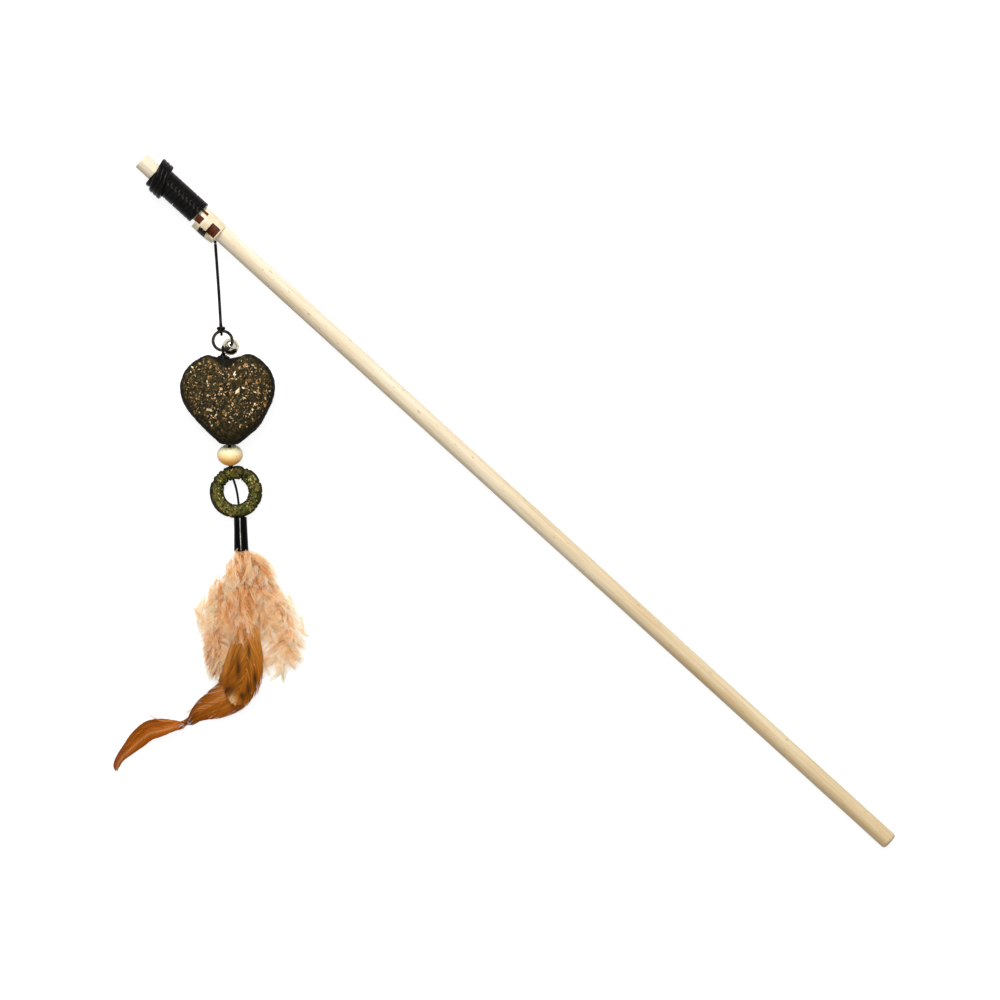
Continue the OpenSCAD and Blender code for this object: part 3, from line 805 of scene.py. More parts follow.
@dataclass
class FreeCord:
    """The thin cord between the sleeve and the split ring, and its knot there."""

    route: tuple[tuple[float, float, float], ...] = (
        (-156.3, 84.9, 6.6), (-154.0, 82.7, 6.2), (-151.7, 80.5, 5.9), (-149.4, 78.3, 5.7),
        (-147.1, 76.1, 5.6), (-144.8, 73.9, 5.6), (-142.5, 71.7, 5.7), (-140.2, 69.5, 6.1),
        (-137.9, 67.3, 6.7), (-135.6, 65.1, 7.4), (-133.3, 62.9, 8.2),
    )
    diameter: float = 1.2
    lay: float = 3.2

    def build_cord(self) -> None:
        points = smooth_table(self.route, 120)
        section = cord_section(18, 3, 0.05)
        piece = swept("lure_cord", points, self.diameter / 2, section, lay=self.lay)
        place_piece(piece, CORD, Body.CORD, "black_cord", "free_cord")

    def build_knot(self) -> None:
        """Ties turns round the cord and a loop round the ring's wire."""
        wraps = knot_wraps(
            "ring_knot", KNOT, middle=-1.1, radius=1.3, turns=2.6, thick=0.5, width=1.7
        )
        neck = spread(np.array([-3.2, -2.6, -2.0, -1.2]), 0.0, 0.0)
        neck = strand("ring_knot_neck", KNOT, neck, 0.64, 14)
        piece = joined("ring_knot", [wraps, wire_loop("ring_knot_loop", KNOT), neck])
        place_piece(piece, CORD, Body.CORD, "black_cord", "cord_knot")


def knot_wraps(
    name: str, spot: Spot, middle: float, radius: float, turns: float, thick: float, width: float
) -> Piece:
    """Wraps a cord round itself, with a core through the turns.

    Args:
        name: The piece's name.
        spot: Where the knot's own axes are.
        middle: Place of its middle along X.
        radius: Radius of the turns' middle line.
        turns: How many turns.
        thick: Radius of the cord.
        width: Length of the knot along X.

    Returns:
        The new object.
    """
    a = np.linspace(0, 2 * math.pi * turns, int(28 * turns))
    share = a / a[-1]
    x = middle + (share - 0.5) * (width - 2 * thick)
    r = radius * (0.82 + 0.18 * np.sin(math.pi * share))
    line = spread(x, r * np.cos(a + 0.8), r * np.sin(a + 0.8))
    line[[0, -1], 1:] /= 2
    core = spread(np.linspace(middle - width / 2, middle + width / 2, 9), 0.0, 0.0)
    girth = radius * np.array([0.5, 0.85, 1, 1, 1, 1, 1, 0.85, 0.5])
    turn = strand(name, spot, line, thick)
    return joined(name, [turn, strand(name + "_core", spot, core, girth, 16)])


def wire_loop(name: str, spot: Spot, radius: float = 1.42, thick: float = 0.47) -> Piece:
    """A loop of cord that stands round the ring's wire, in the XZ plane of its spot."""
    a = np.linspace(0, 2 * math.pi, 49)
    line = spread(radius * np.cos(a), 0.12 * np.sin(2 * a), radius * np.sin(a))
    return strand(name, spot, line, thick)


@dataclass
class SplitRing:
    """Two turns of flattened spring wire, closed on each other."""

    radius: float = 3.78
    wire: float = 0.6
    flat: float = 0.72
    rise: float = 0.62
    count: int = 161

    def build(self) -> None:
        """Coils the wire twice round and lets its ends step over."""
        once = 2 * math.pi
        a = np.linspace(0, 2 * once, self.count)
        step = np.interp(a, [0, once - 0.5, once + 0.5, 2 * once], [-0.5, -0.5, 0.5, 0.5])
        line = spread(self.radius * np.cos(a), self.radius * np.sin(a), self.rise * step)
        order = np.arange(self.count)
        ends = np.minimum(1, np.minimum(order, order[::-1]) / 4 + 0.25)
        b = around(16)
        shape = spread(self.flat * signed_power(np.cos(b), 0.7), np.sin(b))
        ups = np.tile([0.0, 0.0, 1.0], (self.count, 1))
        piece = swept("split_ring_coil", RING.put(line), self.wire * ends, shape, ups=ups)
        place_piece(piece, SPRING_STEEL, Body.SPLIT_RING, "steel_wire", "split_ring")
        bell = ("bell_dome", "bell_cup", "bell_eye", "bell_pellet")
        NICKEL.dress(*(frame["nodes"][name] for name in bell))


@dataclass(frozen=True)
class LeafMix:
    """The colours of dry leaf bits, with how often each comes."""

    colours: tuple[str, ...]
    shares: tuple[float, ...]

    def pick(self, rng: np.random.Generator, count: int) -> Array:
        """Draws a colour for each bit, with a little change of lightness."""
        p = np.array(self.shares) / sum(self.shares)
        picked = palette(*self.colours)[rng.choice(len(self.colours), size=count, p=p)]
        return picked * rng.uniform(0.75, 1.2, (count, 1))


HEART_GROUND = LeafMix(("#241F0D", "#373019", "#4A4020", "#66502C"), (0.38, 0.34, 0.2, 0.08))
HEART_BITS = LeafMix(
    ("#1A160A", "#403719", "#7A5529", "#B8864E", "#DFB07A", "#FBE0B4"),
    (0.4, 0.35, 0.07, 0.06, 0.06, 0.05),
)
RING_GROUND = LeafMix(
    ("#26260F", "#48461A", "#625A22", "#756434", "#2A4A12"), (0.16, 0.3, 0.32, 0.17, 0.05)
)
RING_BITS = LeafMix(
    ("#1E200E", "#5A5A20", "#7D7634", "#9C9450", "#C9C07A"), (0.3, 0.28, 0.22, 0.12, 0.08)
)


def tint_patches(
    piece: Piece,
    spot: Spot,
    mix: LeafMix,
    grain: float,
    seed: int,
    shade: Callable[[Array], Array],
) -> None:
    """Colours a pressed piece in small patches, one colour to each grain, darkened by painted shade.

    Args:
        piece: The piece.
        spot: The spot whose own millimetres the shade is given in.
        mix: The colours.
        grain: Size of a patch in millimetres.
        seed: Seed of the draw.
        shade: Gives a factor of lightness for each place, which is painted shade.
    """
    places = spot.local(read_rows(piece.data.vertices, "co"))
    rng = np.random.default_rng(seed)
    wobble = spread(*(np.sin(places @ rng.normal(0, 2.2, 3) + k) for k in range(3)))
    cells = np.floor(places / grain + 0.35 * wobble).astype(np.int64)
    keys = (cells * np.array([73856093, 19349663, 83492791])).sum(axis=1) % 4096
    # The patch colours are multiplied by painted shade
    paint(piece.data, mix.pick(rng, 4096)[keys] * shade(places)[:, None])


def leaf_bits(
    name: str,
    piece: Piece,
    spot: Spot,
    mix: LeafMix,
    count: int,
    seed: int,
    likely: Callable[[Array], Array],
    size: float = 0.42,
) -> Piece:
    """Presses many small leaf bits into a piece's skin.

    Args:
        name: The new piece's name.
        piece: The pressed piece.
        spot: The spot whose own millimetres the likelihood is given in.
        mix: The bits' colours.
        count: How many bits.
        seed: Seed of the draw.
        likely: Gives how likely a bit is at each place.
        size: Half of a bit's usual length in millimetres.

    Returns:
        The bits, as one object.
    """
    rng = np.random.default_rng(seed)
    sides = piece.data.polygons
    centre, normal = read_rows(sides, "center"), read_rows(sides, "normal")
    weight = read_rows(sides, "area", 1)[:, 0] * likely(spot.local(centre))
    at = rng.choice(len(sides), size=count, p=weight / weight.sum())
    n = unit(normal[at] + rng.normal(0, 0.22, (count, 3)))
    u = unit(np.cross(n, rng.normal(0, 1, (count, 3))))
    v = np.cross(n, u)
    long = size * rng.lognormal(0, 0.45, (count, 1))
    wide = long * rng.uniform(0.3, 0.75, (count, 1))
    c = centre[at] / MM + n * rng.uniform(-0.02, 0.1, (count, 1))
    lift = n * long * rng.uniform(0.0, 0.3, (count, 1))
    corners = [c - u * long, c - v * wide, c + u * long + lift, c + v * wide, c + lift * 0.6]
    verts = np.stack(corners, axis=1).reshape(-1, 3)
    verts[:, 2] = np.maximum(verts[:, 2], 0.02)
    start = np.arange(count)[:, None] * 5
    faces = np.concatenate([start + f for f in ((0, 1, 4), (1, 2, 4), (2, 3, 4), (3, 0, 4))])
    return mesh_object(name, verts, faces.tolist(), np.repeat(mix.pick(rng, count), 5, axis=0))


@dataclass
class Heart:
    """The heart of pressed leaf, and the cord knotted in its cleft."""

    length: float = 35.0
    width: float = 36.9
    thick: float = 14.0
    drop: float = 2.2
    side: float = 1.5
    bulges: tuple[tuple[float, float, float], ...] = (
        (42, 24, 1.2), (-100, 40, 0.45), (-157, 11, 0.5), (149, 11, 0.6),
    )
    lip: float = 0.6
    cleft_deep: float = 5.2
    middle_share: float = 0.45
    squareness: float = 3.3
    grains: tuple[tuple[float, float], ...] = ((3.0, 0.35), (0.8, 0.45))
    bits: int = 6500
    shares: tuple[tuple[float, float], ...] = (
        (0.16, 0), (0.08, 0.17), (0.015, 0.3), (0, 0.4), (0.02, 0.56), (0.07, 0.73), (0.16, 0.89),
        (0.27, 0.98), (0.37, 1), (0.47, 0.97), (0.58, 0.88), (0.7, 0.72), (0.8, 0.56),
        (0.9, 0.38), (0.963, 0.24), (0.986, 0.17), (0.988, 0),
    )

    def reach(self, angles: Array, fill: float) -> Array:
        """The outline's distance from the middle.

        Args:
            angles: Angles from +X.
            fill: How deep the cleft is, as a share of the length.

        Returns:
            Distances in millimetres.
        """
        rim = np.array([(x * self.length, y * self.width / 2, 0.0) for x, y in self.shares])
        rim[0, 0], rim[1, 0] = fill * self.length, (0.5 * fill + 0.5 * 0.015) * self.length
        rim[:, 0] -= self.middle_share * self.length
        soft = np.vstack([rim[:1], smooth_table(rim[1:-2], 90), rim[-2:]])
        at = np.arctan2(soft[:, 1], soft[:, 0])
        order = np.argsort(at)
        far = np.interp(np.abs(angles), at[order], np.hypot(soft[:, 0], soft[:, 1])[order])
        for middle, width, more in self.bulges:
            far = far + more * bump(np.degrees(angles) - middle, width)
        return far

    def in_cleft(self, places: Array) -> Array:
        """How far places lie in the V of the cleft, from zero to one."""
        down = np.maximum((places[:, 0] - self.drop) / self.cleft_deep, -1)
        across = places[:, 1] - self.side
        left, right = -5.8 + 5.0 * down, 6.8 - 6.6 * down
        return np.clip(np.minimum(across - left, right - across) / 0.9 + 0.5, 0, 1)

    def nearness(self, places: Array) -> Array:
        """How near places are to the outline, seen from above, as a share of its distance."""
        x = places[:, 0] - self.drop - self.middle_share * self.length
        y = places[:, 1] - self.side
        return np.hypot(x, y) / self.reach(np.arctan2(y, x), 0.02)

    def shade(self, places: Array) -> Array:
        """Lightness of the pressed leaf, all of it painted shade: dark in the cleft, at the rim, on the
        sides and near the tip.
        """
        x, y = places[:, 0] - self.drop, np.abs(places[:, 1] - self.side)
        flank = np.clip((x - 0.3 * self.length) / 10, 0, 1) * np.clip(y / 8, 0, 1)
        rim = np.clip((0.985 - self.nearness(places)) / (0.06 + 0.09 * flank), 0, 1)
        side = np.clip((np.abs(places[:, 2]) - 1.5) / 4.0, 0.3, 1)
        low = np.clip((places[:, 0] - self.drop - 0.62 * self.length) / 8.0, 0, 1)
        return (1 - 0.75 * self.in_cleft(places)) * (0.25 + 0.75 * rim) * side * (1 - 0.3 * low)

    def likely(self, places: Array) -> Array:
        """Where leaf bits lie: few near the tip and the rim, and none in the cleft."""
        low = np.clip((places[:, 0] - self.drop - 0.6 * self.length) / 7.0, 0, 1)
        side = np.clip((np.abs(places[:, 2]) - 3.5) / 2.5, 0.02, 1)
        rim = np.clip((0.96 - self.nearness(places)) / 0.06, 0.1, 1)
        return (1 - 0.98 * self.in_cleft(places)) * (1 - 0.85 * low) * side * rim

    def build_block(self) -> Piece:
        """Shapes a ball into the pressed block, then presses its grain in."""
        bpy.ops.object.select_all(action="DESELECT")
        bpy.ops.mesh.primitive_uv_sphere_add(segments=300, ring_count=130, radius=1.0)
        block = bpy.context.object
        co = read_rows(block.data.vertices, "co")
        angle = np.arctan2(co[:, 1], co[:, 0])
        lift = np.arcsin(np.clip(co[:, 2], -1, 1))
        level = np.abs(np.cos(lift)) ** (2 / self.squareness)
        up = signed_power(np.sin(lift), 2 / self.squareness)
        open_ = np.clip((np.abs(up) - 0.4) / 0.4, 0, 1)
        far = level * blend(self.reach(angle, 0.04), self.reach(angle, 0.13), open_)
        far = far + bump(angle, 0.3) * np.clip(0.1 + 2.0 * up, 0, self.lip) * level
        x = self.drop + self.middle_share * self.length + far * np.cos(angle)
        points = spread(x, self.side + far * np.sin(angle), up * self.thick / 2 * 0.97)
        move_points(block, HEART.put(points))
        for size, depth in self.grains:
            roughen(block, size, depth)
        return block

    def build(self) -> None:
        """Makes the heart and its leaf bits."""
        block = joined("pressed_heart", [self.build_block()])
        # The heart's leaf patches are darkened by painted shade
        tint_patches(block, HEART, HEART_GROUND, 0.8, 11, self.shade)
        bits = leaf_bits("heart_leaf_bits", block, HEART, HEART_BITS, self.bits, 12, self.likely)
        place_piece(block, PRESSED_LEAF, Body.HEART, "pressed_heart", "catnip_heart")
        place_piece(bits, LEAF_BITS, Body.HEART, "pressed_heart")

    def build_cord(self) -> None:
        """Makes the loop on the ring, the knot in the cleft and the cord down the heart."""
        loop = wire_loop("heart_loop", HANG)
        knot = knot_wraps(
            "heart_cleft_knot", HEART, middle=3.35, radius=1.86, turns=2.4, thick=0.75, width=3.0
        )
        x, out, height = np.array([
            (1.5, 0.0, 1.0), (2.6, 0.0, 0.6), (4.0, 0.5, 0.2), (6.5, 1.0, 0.0), (9.0, 1.0, 0.0)
        ]).T
        legs = []
        for i, sway in enumerate((-0.7, 0.7)):
            leg = spread(x, self.side * out + sway * np.array([0.4, 1, 1, 1, 0]), height)
            legs.append(strand(f"heart_leg_{i}", HEART, smooth_table(leg, 30), 0.55))
        down = spread(np.linspace(8.0, self.drop + self.length - 0.1, 30), self.side, 0.0)
        core = strand("heart_core", HEART, down, 0.6)
        piece = joined("heart_hanging_cord", [knot, loop, *legs, core])
        place_piece(piece, CORD, Body.HEART, "black_cord", "heart_cord")


@dataclass
class BeadAndRing:
    """The bead on its cord, the knot below it, and the pressed ring with its cord."""

    ring_radius: float = 7.66
    ring_wide: float = 5.38
    ring_thick: float = 5.2
    grains: tuple[tuple[float, float], ...] = ((2.6, 0.25), (0.7, 0.15))
    bits: int = 800

    def build_bead(self) -> None:
        """Dresses the bead and ties the knot under it."""
        PINE.dress(frame["nodes"]["wooden_bead"])
        CORD.dress(frame["nodes"]["bead_cord"])
        knot = knot_wraps(
            "bead_stop_knot", BEAD, middle=8.62, radius=1.15, turns=1.6, thick=0.45, width=0.95
        )
        place_piece(knot, CORD, Body.BEAD_CORD, "black_cord", "bead_knot")

    def creases(self, angle: Array) -> Array:
        """Depth in millimetres of the radial creases, most of which lie towards the bead."""
        rng = np.random.default_rng(21)
        depth = np.zeros_like(angle)
        for a in np.concatenate([rng.uniform(-math.pi, math.pi, 7), rng.uniform(2.2, 4.1, 11)]):
            near = (angle - a + math.pi) % (2 * math.pi) - math.pi
            depth += rng.uniform(0.15, 0.5) * bump(near, 0.035)
        return depth

    def shade(self, places: Array) -> Array:
        """Lightness of the pressed leaf, all of it painted shade: dark on the sides and in the creases.
        """
        x, y = places[:, 0], places[:, 1]
        off = np.abs(np.hypot(x, y) - self.ring_radius) / (self.ring_wide / 2)
        deep = np.minimum(1.6 * self.creases(np.arctan2(y, x)), 0.8)
        return (0.1 + 0.9 * np.clip((1.0 - off) / 0.6, 0, 1) ** 1.3) * (1.1 - deep)

    def likely(self, places: Array) -> Array:
        """Where leaf bits lie: on the top and the bottom, and none on the sides."""
        inner = np.clip((9.6 - np.hypot(places[:, 0], places[:, 1])) / 0.5, 0.0, 1)
        return np.clip((np.abs(places[:, 2]) - 1.4) / 1.0, 0.0, 1) * inner

    def build_ring(self) -> None:
        """Shapes the pressed ring, with its creases, grain and leaf bits."""
        bpy.ops.object.select_all(action="DESELECT")
        bpy.ops.mesh.primitive_torus_add(
            major_segments=260, minor_segments=90, major_radius=self.ring_radius,
            minor_radius=self.ring_wide / 2,
        )
        ring = bpy.context.object
        co = read_rows(ring.data.vertices, "co")
        angle = np.arctan2(co[:, 1], co[:, 0])
        crease = np.minimum(self.creases(angle), 0.6)
        middle = spread(np.cos(angle), np.sin(angle), 0.0) * self.ring_radius
        wider = 1 + 0.05 * np.sin(angle) ** 2 - crease / (self.ring_thick / 2)
        co = middle + (co - middle) * wider[:, None]
        co[:, 2] *= self.ring_thick / self.ring_wide * 0.96
        move_points(ring, PRESSED_RING.put(co))
        for size, depth in self.grains:
            roughen(ring, size, depth)
        block = joined("pressed_ring", [ring])
        # The ring's leaf patches are darkened by painted shade
        tint_patches(block, PRESSED_RING, RING_GROUND, 1.3, 22, self.shade)
        bits = leaf_bits(
            "ring_leaf_bits", block, PRESSED_RING, RING_BITS, self.bits, 23, self.likely
        )
        place_piece(block, PRESSED_LEAF, Body.PRESSED_RING, "pressed_ring", "catnip_ring")
        place_piece(bits, LEAF_BITS, Body.PRESSED_RING, "pressed_ring")

    def build_ring_cord(self) -> None:
        """Runs the cord across the ring's hole with a slight bow."""
        x = np.linspace(-10.0, 10.0, 60)
        bow = 0.35 * np.cos(x / 5.0 * math.pi / 2) * (np.abs(x) < 5.0)
        line, section = spread(x, bow, 0.0), cord_section(18, 3, 0.16)
        piece = swept("ring_cross_cord", PRESSED_RING.put(line), 0.5, section, lay=2.8)
        place_piece(piece, CORD, Body.PRESSED_RING, "black_cord", "ring_cord")


@dataclass
class Plume:
    """A line of stations that a feather's barbs are set out on, in the tassel's own axes."""

    rows: Array
    seed: int
    line: Array = field(init=False)
    side: Array = field(init=False)
    up: Array = field(init=False)

    COUNT = 600

    def __post_init__(self) -> None:
        """Draws the smooth middle line and the directions on it."""
        self.line = smooth_table(self.rows, self.COUNT)
        along = tangents(self.line[:, :3])
        across = unit(spread(along[:, 1], -along[:, 0], 0.0))
        roll = np.radians(self.line[:, 4])[:, None]
        self.side = np.cos(roll) * across + np.sin(roll) * np.array([0.0, 0.0, 1.0])
        self.up = np.cross(self.side, along)

    def at(self, share: Array) -> tuple[Array, Array, Array, Array]:
        """Place, side, up and half width at shares of the line's length."""
        base, i = np.arange(self.COUNT), np.clip(share, 0, 1) * (self.COUNT - 1)
        line = sampled(self.line[:, :4], base, i)
        return line[..., :3], sampled(self.side, base, i), sampled(self.up, base, i), line[..., 3]

    def length(self) -> float:
        """Length of the middle line in millimetres."""
        return float(run_lengths(self.line[:, :3])[-1])


@dataclass(frozen=True)
class Vane:
    """How a vane's barbs stand on their quill.

    Args:
        start: Share of the line at which they begin.
        spacing: Distance between barbs in millimetres.
        lean: How far a barb runs forward, in its own reaches.
        cup: How far the vane curls down at its edges, as a share of its width.
        ragged: How uneven the barbs' lengths are, as a share.
        loose: How far barbs stand up and down from the vane in millimetres.
        wide: Half of a barb's width, as a share of the spacing.
        stray: How unevenly the barbs lean, as a share.
        fold: Where both sides fold up together, over which share of the line, and how far.
    """

    start: float
    spacing: float
    lean: float = 3.0
    cup: float = 0.1
    ragged: float = 0.04
    loose: float = 0.16
    wide: float = 0.6
    stray: float = 0.03
    fold: tuple[float, float, float] = (0.5, 0.1, 0.0)

    def build(self, name: str, plume: Plume, colour: Callable[..., Array]) -> Piece:
        """Sets flat barbs along both sides of a plume's quill.

        Args:
            name: The piece's name.
            plume: The line they stand on.
            colour: Gives a colour for a place, a share across and a random number.

        Returns:
            The vane, as one object.
        """
        rng = np.random.default_rng(plume.seed)
        total = plume.length()
        count = int(total * (1 - self.start) / self.spacing)
        u = np.linspace(0, 1, 12)[None]
        made = []
        for hand in (-1.0, 1.0):
            base = np.linspace(self.start, 0.995, count)[:, None]
            drift = np.interp(base[:, 0] * 40, np.arange(42), rng.normal(0, 1, 42))[:, None]
            lean = self.lean * (1 + 0.04 * drift + self.stray * rng.normal(0, 1, base.shape))
            reach = plume.at(base)[3]
            for _ in range(4):
                reach = 0.5 * (reach + plume.at(base + reach * lean / total)[3])
            short = 1 - self.ragged * np.abs(rng.normal(0, 1, base.shape))
            reach = reach * np.clip(short, 0.3, 1) + 0.06
            share = base + reach * lean * (0.75 * u + 0.25 * u**2) / total
            over = np.maximum(share - 1, 0) * total * 0.35
            place, side, up, half = plume.at(share)
            ends = tangents(plume.line[:, :3])[-1]
            out = np.minimum(half, reach * (1 - (1 - u) ** 1.25)) * hand
            lift = rng.uniform(-self.loose, self.loose, base.shape) * (0.4 + u)
            neck, span, high = self.fold
            lift = lift + high * bump(share - neck, span) * np.abs(out)
            rise = lift + 0.25 - self.cup * np.abs(out) * u
            local = place + side * out[..., None] + up * rise[..., None] + ends * over[..., None]
            lines = TASSEL.put(local)
            lines[..., 2] = np.maximum(lines[..., 2], 0.22)
            normal = TASSEL.turned(up)
            stray = normal * rng.normal(0, 0.3, (count, 1, 1))
            across = unit(np.cross(tangents(lines, 1), normal) + stray)
            width = self.spacing * self.wide * (1 - 0.75 * u**3) * np.ones_like(base)
            chance = rng.random((count, 1)) * np.ones_like(u)
            tint = colour(local, hand * u * np.ones_like(base), chance)
            made.append(ribbons(f"{name}_{hand:.0f}", lines, width, across, tint))
        return joined(name, made)


def quill(
    name: str, plume: Plume, root: float, thick: float, to: float = 0.97, rise: float = 0.3
) -> Piece:
    """Makes a tapering quill along a plume, from inside the tube to near its tip.

    Args:
        name: The piece's name.
        plume: The line it follows.
        root: Where it starts inside the tube.
        thick: Its radius at the root.
        to: Share of the line at which it ends.
        rise: How far it lies above the line.

    Returns:
        The new object.
    """
    share = np.linspace(0, to, 90)
    place, _, up, _ = plume.at(share)
    place = place + up * rise * np.minimum(1, share * 6)[:, None]
    start = place[0]
    inner = spread(np.linspace(root, start[0], 8, endpoint=False), start[1], start[2])
    radius = np.concatenate([np.full(8, thick), thick * (1 - share / to * 0.85)])
    return strand(name, TASSEL, np.concatenate([inner, place]), radius, 10)


@dataclass(frozen=True)
class Down:
    """Loose barbs in clumps, whose tips fill an outline as seen from above.

    Args:
        outline: Rows of a place along the tassel and the outline's two edges there.
        clumps: How many clumps.
        barbs: How many barbs in a clump.
        thick: Half of the fluff's thickness in millimetres.
        forward: Least and most forward run of a clump, in its own reaches.
        fuzz: How many barbules on a barb.
        loose: How far a clump's tips stand apart in millimetres.
        swerve: How far a clump bows sideways, as a share of its length.
        streak: Share of the clumps that are darker.
        dark: How much darker, on the scale of the random number.
        edge: How strongly tips keep to the outline's edges, less being more.
        cover: Share of the clumps that lie loose over the rest.
    """

    outline: tuple[tuple[float, float, float], ...]
    clumps: int = 440
    barbs: int = 9
    thick: float = 2.3
    forward: tuple[float, float] = (0.25, 0.75)
    fuzz: int = 22
    loose: float = 0.6
    swerve: float = 0.2
    streak: float = 0.06
    dark: float = -0.5
    edge: float = 0.4
    cover: float = 0.4

    def tips(self, rng: np.random.Generator, line: Array, free: Array) -> Array:
        """Draws the clumps' tips inside the outline, those of rooted ones near its edges."""
        edge = np.array(self.outline, float)
        x = np.linspace(edge[0, 0], edge[-1, 0], 400)
        low, high = np.interp(x, edge[:, 0], edge[:, 1]), np.interp(x, edge[:, 0], edge[:, 2])
        wide = high - low + 1.5
        at = np.interp(rng.random(self.clumps), np.cumsum(wide) / wide.sum(), np.arange(400))
        x, low, high = (np.interp(at, np.arange(400), t) for t in (x, low, high))
        middle = np.clip(np.interp(x, line[:, 0], line[:, 1]), low, high)
        left = rng.random(self.clumps) < (middle - low) / (high - low + 1e-6)
        share = rng.random(self.clumps) ** np.where(free, 1.0, self.edge)
        return spread(x, middle + (np.where(left, low, high) - middle) * share)

    def build(self, name: str, plume: Plume, colour: Callable[..., Array]) -> Piece:
        """Builds the barbs and their barbules.

        Args:
            name: The piece's name.
            plume: The line they stand on.
            colour: Gives a colour for a place, a share along a barb and a random number.

        Returns:
            The down, as one object.
        """
        rng = np.random.default_rng(plume.seed)
        line = plume.line[:, :3]
        n, m = self.clumps, self.barbs
        free = rng.random(n) < self.cover
        tip = self.tips(rng, line, free)
        beside = np.interp(tip[:, 0], line[:, 0], line[:, 1])
        reach = np.abs(tip[:, 1] - beside)
        start = tip[:, 0] - reach * rng.uniform(*self.forward, n) - rng.uniform(1.5, 5.0, n)
        root_x = np.clip(start, line[0, 0] + rng.uniform(0, 4, n), line[-1, 0] - 1.0)
        root = sampled(line, line[:, 0], root_x)
        height = np.interp(tip[:, 0], line[:, 0], line[:, 2])
        level = rng.uniform(-1, 1, n)
        level[free] = np.sign(level[free] + 0.4) * rng.uniform(0.5, 1.0, free.sum())
        heading = np.arctan2(tip[:, 1] - line[0, 1], tip[:, 0] - line[0, 0] + 3.0)
        heading += rng.normal(0, 0.45, n)
        back = rng.uniform(4.0, 9.0, n)
        over = height + 0.6 * level * self.thick
        near = spread(tip[:, 0] - back * np.cos(heading), tip[:, 1] - back * np.sin(heading), over)
        near[:, 0] = np.maximum(near[:, 0], line[0, 0] + 0.8)
        slack = 1.6 + 0.9 * (near[:, 0] - line[0, 0])
        near[:, 1] = np.clip(near[:, 1], -slack, slack)
        root = np.where(free[:, None], near, root)
        fall = np.clip(1 - reach / 16, 0.35, 1)
        end = np.column_stack([tip, height + level * self.thick * fall])
        tone = rng.random(n)
        tone[rng.random(n) < self.streak] = self.dark

        each = np.repeat(np.arange(n), m)
        count = n * m
        u = np.linspace(0, 1, 10)[None, :, None]
        size = rng.uniform(0.7, 1.03, (count, 1, 1))
        a = root[each] + rng.normal(0, 1, (count, 3)) * np.array([0.9, 0.5, 0.3])
        b = end[each] + rng.normal(0, self.loose, (count, 3)) * np.array([1, 1, 0.5])
        span = b - a
        flat = spread(-span[:, 1], span[:, 0], 0.0)
        away = np.sign(tip[:, 1] - beside) * rng.uniform(-0.4, 1.0, n) * self.swerve
        bow = flat * away[each][:, None]
        bow[:, 2] = level[each] * self.thick * rng.uniform(0.2, 0.9, count)
        t = u * size
        local = a[:, None] + span[:, None] * t + bow[:, None] * (4 * t * (1 - t)) * 0.5
        phase = rng.uniform(0, 6.28, (count, 1, 3))
        local += 0.4 * t * np.sin(u * rng.uniform(4, 9, (count, 1, 1)) + phase)
        local[..., 2] = np.clip(local[..., 2], -2.45, None)
        chance = np.clip(tone[each] + rng.normal(0, 0.15, count), -1, 1)[:, None] * np.ones((1, 10))
        tint = colour(local, t[..., 0], chance)
        lines = TASSEL.put(local)
        way = tangents(lines, 1)
        across = unit(np.cross(way, unit(rng.normal(0, 1, (count, 1, 3)))))
        width = 0.085 * (1 - 0.65 * u[..., 0]) * np.ones((count, 1))
        barbs = ribbons(name + "_barbs", lines, width, across, tint)

        marks = rng.uniform(0.02, 1.0, (count, self.fuzz)) * 8.999
        i = marks.astype(int)
        f = (marks - i)[..., None]
        rows = np.arange(count)[:, None]
        foot = blend(lines[rows, i], lines[rows, i + 1], f)
        shade = blend(tint[rows, i], tint[rows, i + 1], f)
        along = way[rows, i]
        off = unit(np.cross(along, rng.normal(0, 1, foot.shape)))
        long = rng.uniform(0.5, 1.4, (count, self.fuzz, 1)) * (1 - 0.5 * marks[..., None] / 9)
        end_at = foot + (along * 1.2 + off * 0.7) * long
        end_at[..., 2] = np.maximum(end_at[..., 2], 0.1)
        edge = np.cross(along, off) * 0.035
        corners = np.stack([foot - edge, foot + edge, end_at], axis=2).reshape(-1, 3)
        faces = np.arange(len(corners)).reshape(-1, 3).tolist()
        shade = np.repeat(np.clip(shade * 1.05, 0, 1).reshape(-1, 3), 3, axis=0)
        return joined(name, [barbs, mesh_object(name + "_fuzz", corners, faces, shade)])


def graded(stops: Array, at: Array) -> Array:
    """Colours from evenly spaced stops, at shares from zero to one."""
    return sampled(stops, np.arange(len(stops)), np.clip(at, 0, 1) * (len(stops) - 1))


# Outlines of the fluff seen from above, in the tassel's own millimetres: a place along it,
# and the left and the right edge there
LEFT_FLUFF = (
    (14, -2.2, 1), (18.5, -3.4, 2), (23.4, -6.4, 2.5), (27, -9.8, 2.5), (30, -13.6, 2.5),
    (34, -16.4, 2.5), (37, -19.2, 2), (42.5, -18.8, 1), (47, -18.4, 0), (55, -17.6, -0.5),
    (61, -16.3, -2), (64.5, -15, -5), (66, -12.5, -8),
)
RIGHT_FLUFF = (
    (14.5, -1, 3), (15.8, -1.5, 9), (19.5, -2, 12.3), (24, -2, 15.7), (28, -2, 14.9),
    (33, -1.5, 16.6), (35.2, -1.3, 20.4), (39.5, -1, 22.7), (44, 0, 24.3), (48.5, 1, 26.6),
    (52.5, 1, 25.8), (56.5, 1, 24.8), (60, 1, 23.4), (63.8, 3, 17.5), (67, 11.5, 15),
)
GOLDEN_FLUFF = (
    (52, -17, -13), (56, -17.4, -11.5), (61, -16, -9.5), (64.3, -14.8, -9), (65.5, -12.5, -10),
)
MIDDLE_FLUFF = (
    (15, -1.6, 1.6), (20, -3.4, 3.4), (30, -5, 5), (42, -6.5, 6), (48, -6, 5.5), (52, -4, 4),
)


